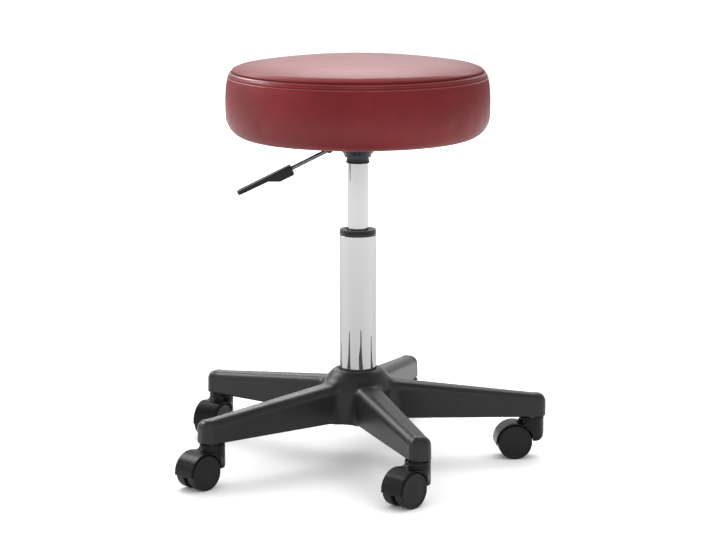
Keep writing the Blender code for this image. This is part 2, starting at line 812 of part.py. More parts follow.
def lift_tube_mesh():
    bore = LIFT_RADIUS - LIFT_WALL
    head = LIFT_TOP - LIFT_HEAD
    pin_bore = PIN_RADIUS + RUN_GAP
    return lathe(
        "lift_tube",
        [
            (pin_bore, LIFT_TOP),
            (lift_radius(LIFT_TOP), LIFT_TOP),
            (LIFT_RADIUS, SOCKET_FOOT),
            (LIFT_RADIUS, LIFT_FOOT),
            (bore, LIFT_FOOT),
            (bore, head),
            (pin_bore, head),
        ],
        COLUMN_SIDES,
    )


def add_column(base_axis, seat_axis, finishes):
    place("stand_tube", stand_tube_mesh(), finishes["chrome"], base_axis)
    place("guide_sleeve", guide_sleeve_mesh(), finishes["ring"], base_axis)
    tail = PISTON_ROD_RADIUS - PISTON_ROD_STEP
    lower = lathe(
        "bearing_lower_race",
        tube_profile(tail + RUN_GAP, RACE_RADIUS, RACE_FOOT, RACE_FOOT + RACE_THICKNESS),
        RACE_SIDES,
    )
    upper = lathe(
        "bearing_upper_race",
        tube_profile(tail + SEAT_GAP, RACE_RADIUS, UPPER_RACE_FOOT, UPPER_RACE_FOOT + RACE_THICKNESS),
        RACE_SIDES,
    )
    bumper = lathe(
        "bump_stop",
        tube_profile(
            PISTON_ROD_RADIUS + SEAT_GAP, BUMPER_RADIUS, BUMPER_FOOT, BUMPER_FOOT + BUMPER_HEIGHT
        ),
        RACE_SIDES,
    )
    gland = lathe(
        "rod_gland",
        tube_profile(
            PISTON_ROD_RADIUS + RUN_GAP,
            LIFT_RADIUS - LIFT_WALL - SEAT_GAP,
            LIFT_FOOT,
            LIFT_FOOT + GLAND_LENGTH,
        ),
        RACE_SIDES,
    )
    pin = lathe(
        "release_pin",
        [
            (0.0, PIN_TOP),
            (PIN_RADIUS, PIN_TOP),
            (PIN_RADIUS, LIFT_TOP - PIN_BURIED),
            (0.0, LIFT_TOP - PIN_BURIED),
        ],
        SMALL_SIDES,
    )
    place("bearing_lower_race", lower, finishes["steel"], base_axis)
    place("bearing_ball_cage", ball_cage_mesh(), finishes["steel"], base_axis)
    place("bearing_upper_race", upper, finishes["steel"], seat_axis)
    place("bump_stop", bumper, finishes["rubber"], seat_axis)
    place("retaining_clip", retaining_clip_mesh(), finishes["steel"], seat_axis)
    place("piston_rod", piston_rod_mesh(), finishes["steel"], seat_axis)
    place("lift_tube", lift_tube_mesh(), finishes["chrome"], seat_axis)
    place("rod_gland", gland, finishes["steel"], seat_axis)
    place("release_pin", pin, finishes["steel"], seat_axis)


# Seat carrier and height lever


def collar_mesh():
    bore = LIFT_RADIUS + SEAT_GAP
    return lathe(
        "top_collar",
        [
            (bore, COLLAR_FOOT + COLLAR_HEIGHT),
            (COLLAR_RADIUS, COLLAR_FOOT + COLLAR_HEIGHT),
            (COLLAR_RADIUS, COLLAR_FOOT + COLLAR_CHAMFER),
            (COLLAR_RADIUS - COLLAR_CHAMFER, COLLAR_FOOT),
            (bore, COLLAR_FOOT),
        ],
        COLUMN_SIDES,
    )


def lever_point(along, rise=0.0):
    # A point on the lever's own line: along is measured outwards from the pivot
    tilt = LEVER_TILT
    x = -LEVER_PIVOT_REACH - along * math.cos(tilt) - rise * math.sin(tilt)
    z = LEVER_PIVOT_HEIGHT - along * math.sin(tilt) + rise * math.cos(tilt)
    return (x, z)


def socket_mesh():
    bore_foot = lift_radius(SOCKET_FOOT) + SEAT_GAP
    bore_top = lift_radius(LIFT_TOP) + SEAT_GAP
    flange_foot = SOCKET_TOP - SOCKET_FLANGE
    flare_foot = SOCKET_FOOT + SOCKET_LIP
    flare = []
    for step in range(1, ARC_STEPS + 1):
        angle = math.pi / 2 * step / ARC_STEPS
        spread = (SOCKET_FLARE_RADIUS - SOCKET_FOOT_RADIUS) * math.cos(angle)
        rise = (flange_foot - flare_foot) * (step / ARC_STEPS) ** SOCKET_FLARE_POWER
        flare.append((SOCKET_FLARE_RADIUS - spread, flare_foot + rise))
    body = lathe(
        "seat_socket",
        [
            (SOCKET_THROAT_RADIUS, SOCKET_TOP),
            (SOCKET_FLANGE_RADIUS, SOCKET_TOP),
            (SOCKET_FLANGE_RADIUS, flange_foot),
            *reversed(flare),
            (SOCKET_FOOT_RADIUS, flare_foot),
            (SOCKET_FOOT_RADIUS, SOCKET_FOOT),
            (bore_foot, SOCKET_FOOT),
            (bore_top, LIFT_TOP),
            (SOCKET_THROAT_RADIUS, LIFT_TOP + SEAT_GAP),
        ],
        COLUMN_SIDES,
    )
    low = -LEVER_ROD_RADIUS - SLOT_DROP
    reach = SOCKET_FLANGE_RADIUS
    outer = lever_point(reach, low)
    inner = lever_point(bore_top - LEVER_PIVOT_REACH, low)
    top = PLATE_TOP
    slot = [outer, inner, (inner[0], top), (outer[0], top)]
    half = LEVER_ROD_RADIUS + SLOT_SIDE_ROOM
    return combine("seat_socket", body, [("DIFFERENCE", slab("slot", slot, -half, half, "Y"))])


def plate_mesh():
    outline = rounded_rectangle(PLATE_HALF_SIDE, PLATE_HALF_SIDE, PLATE_CORNER)
    plate = slab("seat_plate", outline, PLATE_FOOT - PLATE_RIM_DROP, PLATE_TOP)
    inside = PLATE_HALF_SIDE - PLATE_RIM_WALL
    tray = slab(
        "tray",
        rounded_rectangle(inside, inside, PLATE_CORNER - PLATE_RIM_WALL),
        PLATE_FOOT - PLATE_RIM_DROP * 2,
        PLATE_FOOT,
    )
    hole = lathe(
        "hole",
        [
            (0.0, BOARD_TOP),
            (PLATE_HOLE_RADIUS, BOARD_TOP),
            (PLATE_HOLE_RADIUS, PLATE_FOOT - PLATE_RIM_DROP),
            (0.0, PLATE_FOOT - PLATE_RIM_DROP),
        ],
        COLUMN_SIDES,
    )
    cuts = [hole]
    for x, y in bolt_spots():
        low = (x, y, PLATE_FOOT - PLATE_RIM_DROP)
        cuts.append(rod_mesh("drill", BOLT_RADIUS + SEAT_GAP, low, (x, y, BOARD_TOP), FASTENER_SIDES))
    pin_bore = LEVER_PIN_RADIUS + SEAT_GAP
    ears = []
    for side in (-1, 1):
        near = side * (LEVER_EYE_WIDTH / 2 + RUN_GAP)
        far = side * (LEVER_EYE_WIDTH / 2 + RUN_GAP + EAR_THICKNESS)
        foot = LEVER_PIVOT_HEIGHT
        outline = [
            (-LEVER_PIVOT_REACH + EAR_HALF_LENGTH, PLATE_FOOT + PLATE_THICKNESS / 2),
            (-LEVER_PIVOT_REACH - EAR_HALF_LENGTH, PLATE_FOOT + PLATE_THICKNESS / 2),
        ]
        outline += arc((-LEVER_PIVOT_REACH, foot), pin_bore + EAR_MARGIN, 180, 360, WEB_STEPS)
        ears.append(slab("ear", outline, min(near, far), max(near, far), "Y"))
    pin_drill = rod_mesh(
        "pin_drill",
        pin_bore,
        (-LEVER_PIVOT_REACH, -LEVER_EYE_WIDTH * 2, LEVER_PIVOT_HEIGHT),
        (-LEVER_PIVOT_REACH, LEVER_EYE_WIDTH * 2, LEVER_PIVOT_HEIGHT),
        SMALL_SIDES,
    )
    return combine(
        "seat_plate",
        plate,
        [
            ("DIFFERENCE", tray),
            ("UNION", joined("ears", ears)),
            ("DIFFERENCE", joined("holes", cuts)),
            ("DIFFERENCE", pin_drill),
        ],
    )


def plate_reach():
    # How far the plate's rounded corners stand from the middle
    return math.hypot(PLATE_HALF_SIDE - PLATE_CORNER, PLATE_HALF_SIDE - PLATE_CORNER) + PLATE_CORNER


def bolt_spots():
    half = PLATE_HALF_SIDE - BOLT_EDGE
    return [(half, half), (-half, half), (-half, -half), (half, -half)]


def bolt_mesh():
    head_top = PLATE_FOOT - SEAT_GAP
    head_foot = head_top - BOLT_HEAD_HEIGHT
    shank = lathe(
        "seat_bolt",
        [
            (0.0, head_top + BOLT_LENGTH),
            (BOLT_RADIUS, head_top + BOLT_LENGTH),
            (BOLT_RADIUS, head_top - BOLT_HEAD_HEIGHT / 2),
            (0.0, head_top - BOLT_HEAD_HEIGHT / 2),
        ],
        FASTENER_SIDES,
    )
    head = lathe(
        "head",
        [(0.0, head_top), (BOLT_HEAD_RADIUS, head_top), (BOLT_HEAD_RADIUS, head_foot), (0.0, head_foot)],
        HEX_SIDES,
    )
    return combine("seat_bolt", head, [("UNION", shank)])


def nut_mesh():
    flange_foot = BOARD_TOP - NUT_FLANGE
    bore = BOLT_RADIUS + SEAT_GAP
    return lathe(
        "tee_nut",
        [
            (bore, BOARD_TOP),
            (NUT_FLANGE_RADIUS, BOARD_TOP),
            (NUT_FLANGE_RADIUS, flange_foot),
            (NUT_BARREL_RADIUS, flange_foot),
            (NUT_BARREL_RADIUS, BOARD_TOP - NUT_LENGTH),
            (bore, BOARD_TOP - NUT_LENGTH),
        ],
        FASTENER_SIDES,
    )


def lever_rod_mesh():
    # Local frame of the lever: X runs outwards along the rod, Y is the pivot axis
    rod = rod_mesh(
        "lever_rod",
        LEVER_ROD_RADIUS,
        (-LEVER_INNER_REACH, 0.0, 0.0),
        (PADDLE_START + PADDLE_ROD_DEPTH - SEAT_GAP, 0.0, 0.0),
        SMALL_SIDES,
    )
    half = LEVER_EYE_WIDTH / 2
    eye = rod_mesh("eye", LEVER_EYE_RADIUS, (0.0, -half, 0.0), (0.0, half, 0.0), RACE_SIDES)
    bore = rod_mesh(
        "eye_bore",
        LEVER_PIN_RADIUS + RUN_GAP,
        (0.0, -LEVER_EYE_WIDTH, 0.0),
        (0.0, LEVER_EYE_WIDTH, 0.0),
        SMALL_SIDES,
    )
    return combine("lever_rod", rod, [("UNION", eye), ("DIFFERENCE", bore)])


def paddle_mesh():
    end = PADDLE_START + PADDLE_LENGTH
    neck = PADDLE_START + PADDLE_SOCKET_LENGTH
    blade = neck + PADDLE_SHOULDER
    top = PADDLE_ABOVE
    stations = [
        (PADDLE_START, PADDLE_SOCKET_THICKNESS),
        (neck, PADDLE_SOCKET_THICKNESS),
        (blade, PADDLE_BLADE_ROOT),
    ]
    for step in range(ARC_STEPS + 1):
        reach = end - PADDLE_CORNER * (1 - math.sin(math.pi / 2 * step / ARC_STEPS))
        share = (reach - blade) / (end - blade)
        stations.append((reach, PADDLE_BLADE_ROOT + (PADDLE_BLADE_TIP - PADDLE_BLADE_ROOT) * share))
    sections = []
    for reach, thickness in stations:
        past = max(reach - (end - PADDLE_CORNER), 0.0)
        half = PADDLE_HALF_WIDTH - PADDLE_CORNER + math.sqrt(max(PADDLE_CORNER**2 - past**2, 0.0))
        middle = top - thickness / 2
        outline = rounded_rectangle(half, thickness / 2, PADDLE_EDGE, EDGE_STEPS)
        sections.append([(reach, y, middle + z) for y, z in outline])
    paddle = loft("lever_paddle", sections)
    bore = rod_mesh(
        "paddle_bore",
        LEVER_ROD_RADIUS + SEAT_GAP,
        (PADDLE_START - PADDLE_ROD_DEPTH, 0.0, 0.0),
        (PADDLE_START + PADDLE_ROD_DEPTH, 0.0, 0.0),
        SMALL_SIDES,
    )
    return combine("lever_paddle", paddle, [("DIFFERENCE", bore)])


def pivot_pin_mesh():
    half = LEVER_EYE_WIDTH / 2 + RUN_GAP + EAR_THICKNESS
    pin = lathe(
        "lever_pivot_pin",
        [
            (0.0, half + SEAT_GAP + LEVER_PIN_HEAD),
            (LEVER_PIN_HEAD_RADIUS, half + SEAT_GAP + LEVER_PIN_HEAD),
            (LEVER_PIN_HEAD_RADIUS, half + SEAT_GAP),
            (LEVER_PIN_RADIUS, half + SEAT_GAP),
            (LEVER_PIN_RADIUS, -half - LEVER_PIN_TAIL),
            (0.0, -half - LEVER_PIN_TAIL),
        ],
        SMALL_SIDES,
    )
    pin.transform(Matrix.Rotation(math.pi / 2, 4, "X"))
    return pin


def add_carrier(seat_axis, finishes):
    place("top_collar", collar_mesh(), finishes["ring"], seat_axis)
    place("seat_socket", socket_mesh(), finishes["carrier"], seat_axis)
    place("seat_plate", plate_mesh(), finishes["carrier"], seat_axis)
    bolt, nut = bolt_mesh(), nut_mesh()
    for number, (x, y) in enumerate(bolt_spots(), start=1):
        place(f"seat_bolt_{number}", bolt, finishes["steel"], seat_axis, (x, y, 0.0))
        place(f"tee_nut_{number}", nut, finishes["steel"], seat_axis, (x, y, 0.0))
    pivot = (-LEVER_PIVOT_REACH, 0.0, LEVER_PIVOT_HEIGHT)
    place("lever_pivot_pin", pivot_pin_mesh(), finishes["steel"], seat_axis, pivot)
    # Half a turn about Z points the lever along -X, then it tilts down about its pivot
    lever_axis = add_axis("lever_axis", pivot, (0.0, LEVER_TILT, math.pi), seat_axis)
    place("lever_rod", lever_rod_mesh(), finishes["carrier"], lever_axis)
    place("lever_paddle", paddle_mesh(), finishes["paddle"], lever_axis)


# Seat


def side_radius(height, inset):
    # The side bulges in one long arc, fullest a little below the middle
    rise = height - SEAT_FOOT - SEAT_BULGE_HEIGHT
    return SEAT_RADIUS - inset - rise**2 / (2 * SEAT_SIDE_BULGE)


def crown_height(radius, inset):
    return SEAT_TOP - inset - SEAT_CROWN * (radius / SEAT_TOP_RADIUS) ** 2


def seat_lower_outline(inset):
    # From the fullest part of the side down round the foot to the hem under the seat
    start = SEAT_FOOT + SEAT_FOOT_ROUND
    centre = (side_radius(start, 0.0) - SEAT_FOOT_ROUND, start)
    points = [(side_radius(SEAT_FOOT + SEAT_BULGE_HEIGHT, inset), SEAT_FOOT + SEAT_BULGE_HEIGHT)]
    points += arc(centre, SEAT_FOOT_ROUND - inset, 0, -90)
    return points


def seat_top_edge():
    return crown_height(SEAT_TOP_RADIUS, 0.0)


def board_radius():
    return side_radius(SEAT_FOOT + SEAT_FOOT_ROUND, 0.0) - SEAT_FOOT_ROUND


def cover_outline():
    # Crown, rolled top edge, sewn groove, welt band, second groove, side and foot
    edge = seat_top_edge()
    upper_groove = edge - SEAT_TOP_ROLL
    lower_groove = upper_groove - SEAT_WELT
    upper_radius = side_radius(upper_groove, 0.0) - SEAT_ROLL_TUCK
    lower_radius = side_radius(lower_groove, 0.0)
    points = []
    for share in CROWN_SHARES:
        radius = SEAT_TOP_RADIUS * share
        points.append((radius, crown_height(radius, 0.0)))
    roll = upper_radius - SEAT_TOP_RADIUS
    for angle in ROLL_ANGLES:
        turn = math.radians(angle)
        points.append(
            (
                SEAT_TOP_RADIUS + roll * math.sin(turn),
                edge - (SEAT_TOP_ROLL - SEAT_GROOVE / 2) * (1 - math.cos(turn)),
            )
        )
    points.append((upper_radius - SEAT_GROOVE, upper_groove))
    for share in WELT_SHARES:
        height = upper_groove - SEAT_WELT * share
        lean = (lower_radius - upper_radius) * share
        swell = SEAT_GROOVE * math.sin(math.pi * share)
        points.append((upper_radius + lean - SEAT_GROOVE + swell, height))
    points.append((lower_radius - SEAT_LOWER_GROOVE, lower_groove))
    points.append((side_radius(lower_groove - SEAT_GROOVE, SEAT_GROOVE / 4), lower_groove - SEAT_GROOVE))
    middle = (lower_groove + SEAT_FOOT + SEAT_BULGE_HEIGHT) / 2
    points.append((side_radius(middle, 0.0), middle))
    return points + seat_lower_outline(0.0)


def lining_outline(inset):
    # The plain inside of the cover, and the outside of the foam when drawn further in
    edge = seat_top_edge()
    points = []
    for share in LINING_SHARES:
        radius = SEAT_TOP_RADIUS * share
        points.append((radius, crown_height(radius, inset)))
    welt_foot = edge - SEAT_TOP_ROLL - SEAT_WELT
    points.append((side_radius(edge, inset + SEAT_LINING_TUCK), edge - inset - SEAT_TOP_ROLL))
    points.append((side_radius(welt_foot, inset + SEAT_GROOVE), welt_foot - inset))
    return points + seat_lower_outline(inset)


def cover_mesh():
    outer = cover_outline()
    inner = lining_outline(COVER_THICKNESS)
    hem = plate_reach() + HEM_ROOM
    rim = [(hem, SEAT_FOOT), (hem, SEAT_FOOT + COVER_THICKNESS)]
    return lathe("seat_cover", [*outer, *rim, *reversed(inner)], CUSHION_SIDES)


def foam_mesh():
    outer = lining_outline(COVER_THICKNESS + SEAT_GAP)
    edge = board_radius() + SEAT_GAP
    top = BOARD_TOP + SEAT_GAP
    low = SEAT_FOOT + COVER_THICKNESS + SEAT_GAP
    outer = [*outer[:-1], (edge, low), (edge, top), (0.0, top)]
    return lathe("seat_foam", outer, CUSHION_SIDES)


def board_mesh():
    # A flat disc with a hole over the lift and counterbored holes for the tee nuts
    rim = board_radius()
    board = lathe(
        "seat_board",
        [
            (BOARD_HOLE_RADIUS, BOARD_TOP),
            (rim, BOARD_TOP),
            (rim, BOARD_FOOT),
            (BOARD_HOLE_RADIUS, BOARD_FOOT),
        ],
        CUSHION_SIDES,
    )
    cuts = []
    for x, y in bolt_spots():
        seat = NUT_BARREL_RADIUS + SEAT_GAP
        recess = BOARD_TOP - NUT_FLANGE - SEAT_GAP
        drill = lathe(
            "drill",
            [
                (0.0, BOARD_TOP + NUT_FLANGE),
                (NUT_FLANGE_RADIUS + SEAT_GAP, BOARD_TOP + NUT_FLANGE),
                (NUT_FLANGE_RADIUS + SEAT_GAP, recess),
                (seat, recess),
                (seat, BOARD_FOOT - NUT_FLANGE),
                (0.0, BOARD_FOOT - NUT_FLANGE),
            ],
            FASTENER_SIDES,
        )
        drill.transform(Matrix.Translation((x, y, 0.0)))
        cuts.append(drill)
    return combine("seat_board", board, [("DIFFERENCE", joined("drills", cuts))])


def add_seat(seat_axis, finishes):
    place("seat_board", board_mesh(), finishes["board"], seat_axis)
    place("seat_foam", foam_mesh(), finishes["foam"], seat_axis)
    place("seat_cover", cover_mesh(), finishes["cover"], seat_axis)


def main():
    clear_scene()
    finishes = {
        "cover": make_finish("red_leatherette", (0.19, 0.018, 0.022), 0.42, 0.0),
        "foam": make_finish("seat_foam", (0.75, 0.68, 0.5), 0.9, 0.0),
        "board": make_finish("seat_plywood", (0.42, 0.28, 0.16), 0.7, 0.0),
        "chrome": make_finish("chrome", (0.82, 0.82, 0.83), 0.06, 1.0),
        "ring": make_finish("black_ring", (0.012, 0.012, 0.013), 0.4, 0.0),
        "base": make_finish("black_nylon", (0.028, 0.028, 0.029), 0.48, 0.0),
        "hood": make_finish("black_hood", (0.02, 0.02, 0.021), 0.42, 0.0),
        "wheel": make_finish("black_wheel", (0.016, 0.016, 0.016), 0.46, 0.0),
        "carrier": make_finish("dark_steel", (0.02, 0.021, 0.024), 0.4, 0.6),
        "paddle": make_finish("black_paddle", (0.012, 0.012, 0.012), 0.5, 0.0),
        "steel": make_finish("zinc_steel", (0.55, 0.55, 0.56), 0.35, 1.0),
        "rubber": make_finish("rubber", (0.02, 0.02, 0.02), 0.8, 0.0),
    }
    base_axis = add_axis("column_axis", (0.0, 0.0, 0.0))
    seat_axis = add_axis("seat_axis", (0.0, 0.0, 0.0), parent=base_axis)
    place("star_base", base_mesh(), finishes["base"], base_axis)
    add_casters(base_axis, finishes)
    add_column(base_axis, seat_axis, finishes)
    add_carrier(seat_axis, finishes)
    add_seat(seat_axis, finishes)


main()
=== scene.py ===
import json
import math

import bmesh
import bpy
import numpy as np
from mathutils import Matrix, Vector
from mathutils.kdtree import KDTree


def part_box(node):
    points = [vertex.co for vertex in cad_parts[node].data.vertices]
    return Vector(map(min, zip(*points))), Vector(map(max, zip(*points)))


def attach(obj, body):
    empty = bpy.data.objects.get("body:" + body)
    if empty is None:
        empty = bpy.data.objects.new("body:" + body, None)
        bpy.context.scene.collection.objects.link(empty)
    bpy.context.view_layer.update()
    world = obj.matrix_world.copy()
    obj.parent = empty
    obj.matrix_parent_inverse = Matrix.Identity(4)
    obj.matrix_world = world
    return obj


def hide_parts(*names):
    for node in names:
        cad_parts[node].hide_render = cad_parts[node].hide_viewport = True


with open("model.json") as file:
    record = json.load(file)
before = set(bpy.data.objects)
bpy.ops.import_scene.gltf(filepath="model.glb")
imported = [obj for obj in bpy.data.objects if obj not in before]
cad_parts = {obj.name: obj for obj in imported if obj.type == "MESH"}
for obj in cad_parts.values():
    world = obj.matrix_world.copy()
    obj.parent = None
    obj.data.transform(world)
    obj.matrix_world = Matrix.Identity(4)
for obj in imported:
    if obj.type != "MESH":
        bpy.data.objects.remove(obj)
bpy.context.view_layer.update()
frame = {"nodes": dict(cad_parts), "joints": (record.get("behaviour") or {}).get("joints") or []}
nodes = frame["nodes"]
joints = {joint["name"]: joint for joint in frame["joints"]}
scene = bpy.context.scene
casterNames = ("right", "rear_right", "rear_left", "left", "front")
print("frame loaded:", len(nodes), "nodes")


# Shader kit: sockets that take part in sums, and one method that makes any other node

class Wire:
    def __init__(self, kit, socket):
        self.kit = kit
        self.socket = socket

    def maths(self, operation, *values):
        inputs = dict(enumerate(values))
        return self.kit.node("ShaderNodeMath", {"operation": operation}, inputs)

    def __add__(self, other):
        return self.maths("ADD", self, other)

    def __radd__(self, other):
        return self.maths("ADD", other, self)

    def __sub__(self, other):
        return self.maths("SUBTRACT", self, other)

    def __rsub__(self, other):
        return self.maths("SUBTRACT", other, self)

    def __mul__(self, other):
        return self.maths("MULTIPLY", self, other)

    def __rmul__(self, other):
        return self.maths("MULTIPLY", other, self)

    def between(self, low, high):
        inputs = {"Value": self, "From Min": low, "From Max": high}
        return self.kit.node("ShaderNodeMapRange", {"interpolation_type": "SMOOTHSTEP"}, inputs)

    def blend(self, first, second):
        mix = {"data_type": "RGBA"}
        return self.kit.node("ShaderNodeMix", mix, {0: self, 6: first, 7: second}, 2)


class Kit:
    def __init__(self, name, owners=bpy.data.materials, shader="Principled BSDF", space="Object"):
        self.owner = owners.new(name)
        self.owner.use_nodes = True
        self.tree = self.owner.node_tree
        self.shader = self.tree.nodes[shader]
        self.where = self.node("ShaderNodeTexCoord", {}, {}, space)

    def node(self, kind, settings, inputs, output=0):
        made = self.tree.nodes.new(kind)
        for key, value in settings.items():
            setattr(made, key, value)
        for key, value in inputs.items():
            self.join(value, made.inputs[key])
        return Wire(self, made.outputs[output])

    def join(self, value, socket):
        if isinstance(value, Wire):
            self.tree.links.new(value.socket, socket)
        else:
            socket.default_value = value

    def stretched(self, x, y, z):
        inputs = {0: self.where, 1: (x, y, z)}
        return self.node("ShaderNodeVectorMath", {"operation": "MULTIPLY"}, inputs)

    def noise(self, scale, detail=3.0, rough=0.5, where=None):
        inputs = {"Vector": where or self.where, "Scale": scale, "Detail": detail, "Roughness": rough}
        return self.node("ShaderNodeTexNoise", {}, inputs)

    def cells(self, scale, feature="F1", where=None):
        inputs = {"Vector": where or self.where, "Scale": scale}
        return self.node("ShaderNodeTexVoronoi", {"feature": feature}, inputs)

    def painted(self, name):
        return self.node("ShaderNodeAttribute", {"attribute_name": name}, {}, "Fac")

    def bump(self, height, distance, strength=1.0, below=None):
        inputs = {"Height": height, "Distance": distance, "Strength": strength}
        if below:
            inputs["Normal"] = below
        return self.node("ShaderNodeBump", {}, inputs)

    def finish(self, inputs):
        for key, value in inputs.items():
            self.join(value, self.shader.inputs[key])
        return self.owner


# Finishes

def grey(level):
    return (level, level, level, 1)


# leather colours: top is a painted highlight for the lit top of the seat, bead a painted highlight on the bead lines,
# seam painted shade in the seam lines
leather = {
    "dark": (0.101, 0.0047, 0.0067, 1), "light": (0.137, 0.008, 0.0105, 1), "top": (0.215, 0.0115, 0.0155, 1),
    "bead": (0.24, 0.04, 0.044, 1), "seam": (0.02, 0.0016, 0.0022, 1), "rough": 0.6, "gloss": 0.19,
    "topCoat": 0.68, "beadCoat": 0.6, "lowCoat": 0.32,
}


def leatherette():
    kit = Kit("red_leatherette")
    mottle = kit.noise(14.0, 4.0, 0.55)
    creases = kit.noise(38.0, 5.0, 0.6, kit.stretched(1.0, 1.0, 1.8))
    pebble = kit.cells(760.0, "SMOOTH_F1")
    pores = kit.noise(1900.0, 2.0)
    seam, rub, top, bead, low = map(kit.painted, ("seam", "rub", "top", "bead", "low"))  # from paintCover
    plain = mottle.between(0.3, 0.7).blend(leather["dark"], leather["light"])
    # painted highlight: up-facing surfaces, most of all in the middle of the top, are painted a lighter red, as if lit
    # from above
    plain = (top * 0.9).blend(plain, leather["top"])
    # painted highlight: thin lines under the upper seam and on the lower seam's bead are painted a pale red
    withBeadHighlight = (bead * 0.6).blend(plain, leather["bead"])
    # painted shade: the seam lines are painted a near black red
    colour = (seam * 0.6).blend(withBeadHighlight, leather["seam"])
    large = kit.bump(creases + kit.noise(11.0, 3.0, 0.5) * 2.0, 0.0014, 0.6)
    grain = kit.bump(pebble * 0.8 + pores * 0.3, 0.00016, 0.45, large)
    rough = leather["rough"] - top * 0.24 + mottle * 0.08 + pebble * 0.05 + seam * 0.15 - rub * 0.34
    polish = top * leather["topCoat"] + bead * leather["beadCoat"] + low * leather["lowCoat"] - mottle * 0.1
    varying = {"Base Color": colour, "Roughness": rough, "Normal": grain, "Coat Weight": polish}
    return kit.finish(varying | {"Specular IOR Level": leather["gloss"], "Coat Roughness": 0.2, "Coat IOR": 1.5})


def threadFinish():
    kit = Kit("red_thread")
    twist = kit.noise(2600.0, 2.0, 0.5, kit.stretched(1.0, 1.0, 0.35))
    colour = twist.blend((0.16, 0.012, 0.016, 1), (0.24, 0.03, 0.034, 1))
    return kit.finish({"Base Color": colour, "Roughness": 0.55, "Normal": kit.bump(twist, 0.0002, 0.6)})


def nylon(name, dark, light, rough, grain, gloss):
    kit = Kit(name)
    flow = kit.noise(18.0, 4.0, 0.6)
    spark = kit.noise(grain, 2.0, 0.7)
    dust = kit.noise(60.0, 3.0, 0.55).between(0.5, 0.8)
    rub = kit.painted("rub")
    plain = flow.blend((dark, dark, dark * 1.03, 1), (light, light, light * 1.02, 1))
    colour = (dust * 0.08 + rub * 0.15).blend(plain, (0.045, 0.045, 0.046, 1))
    normal = kit.bump(spark, 0.00014, 0.18, kit.bump(flow, 0.001, 0.1))
    sheen = rough + flow * 0.1 - 0.05 + dust * 0.03 - rub * 0.05
    return kit.finish({"Base Color": colour, "Roughness": sheen, "Normal": normal, "Specular IOR Level": gloss})


def chrome(name, lean):
    kit = Kit(name)
    smudge = kit.noise(22.0, 5.0, 0.6).between(0.5, 0.8)
    polish = kit.noise(240.0, 3.0, 0.5, kit.stretched(1.0, 1.0, 14.0))
    height = kit.node("ShaderNodeSeparateXYZ", {}, {0: kit.where}, "Z")
    colour = (smudge * 0.3).blend((0.408, 0.409, 0.412, 1), (0.39, 0.392, 0.396, 1))
    rough = 0.01 + smudge * 0.03 + polish * 0.01
    drawn = kit.bump(height * lean, 1.0)  # leans the normal, so what stands round the foot shows taller in it
    normal = kit.bump(polish, 0.00001, 0.2, drawn)
    varying = {"Base Color": colour, "Roughness": rough, "Normal": normal}
    return kit.finish(varying | {"Metallic": 1.0, "Specular Tint": grey(0.62)})


def zincSteel():
    kit = Kit("zinc_steel")
    spangle = kit.cells(420.0)
    streak = kit.noise(300.0, 3.0, 0.5, kit.stretched(1.0, 1.0, 5.0))
    colour = spangle.blend(grey(0.52), (0.62, 0.62, 0.6, 1))
    rough = 0.26 + streak * 0.16
    normal = kit.bump(streak, 0.00005, 0.3)
    return kit.finish({"Base Color": colour, "Roughness": rough, "Metallic": 1.0, "Normal": normal})


def darkSteel(name, dark, light, rough, metal):
    kit = Kit(name)
    peel = kit.noise(520.0, 2.0, 0.4)
    flow = kit.noise(30.0, 3.0)
    colour = flow.blend(dark, light)
    normal = kit.bump(peel, 0.00012, 0.35)
    sheen = rough + flow * 0.1 + peel * 0.05
    return kit.finish({"Base Color": colour, "Roughness": sheen, "Metallic": metal, "Normal": normal})


def rubber():
    kit = Kit("black_rubber")
    bloom = kit.noise(90.0, 4.0)
    colour = bloom.blend(grey(0.014), grey(0.03))
    normal = kit.bump(bloom, 0.0003, 0.3)
    return kit.finish({"Base Color": colour, "Roughness": 0.7 + bloom * 0.15, "Normal": normal})


def plywood():
    kit = Kit("birch_plywood")
    grain = kit.noise(30.0, 6.0, 0.65, kit.stretched(1.0, 9.0, 9.0))
    fibre = kit.noise(420.0, 3.0, 0.6, kit.stretched(0.08, 1.0, 1.0))
    layers = kit.node("ShaderNodeTexWave", {"bands_direction": "Z"}, {"Vector": kit.where, "Scale": 130.0})
    board = grain.between(0.3, 0.72).blend((0.52, 0.37, 0.22, 1), (0.38, 0.24, 0.125, 1))
    colour = (layers.between(0.55, 0.85) * 0.35).blend(board, (0.27, 0.165, 0.085, 1))
    normal = kit.bump(fibre + grain * 0.5, 0.0003, 0.5)
    return kit.finish({"Base Color": colour, "Roughness": 0.62 + fibre * 0.2, "Normal": normal})


def foam():
    kit = Kit("seat_foam_cells")
    pores = kit.cells(640.0)
    age = kit.noise(20.0, 3.0)
    colour = age.blend((0.72, 0.65, 0.46, 1), (0.8, 0.74, 0.58, 1))
    normal = kit.bump(pores, 0.0006, 0.8)
    return kit.finish({"Base Color": colour, "Roughness": 0.85 + age * 0.1, "Normal": normal})


def floorFinish():
    kit = Kit("studio_floor")
    cloud = kit.noise(1.3, 3.0)
    away = kit.node("ShaderNodeVectorMath", {"operation": "LENGTH"}, {0: kit.where}, "Value")
    colour = cloud.blend(grey(0.93), grey(0.95))
    glow = away.between(0.3, 2.4).blend(grey(0.03), grey(0.5))
    inputs = {"Base Color": colour, "Roughness": 0.62 + cloud * 0.1, "Specular IOR Level": 0.1}
    return kit.finish(inputs | {"Emission Color": glow, "Emission Strength": 1.0})


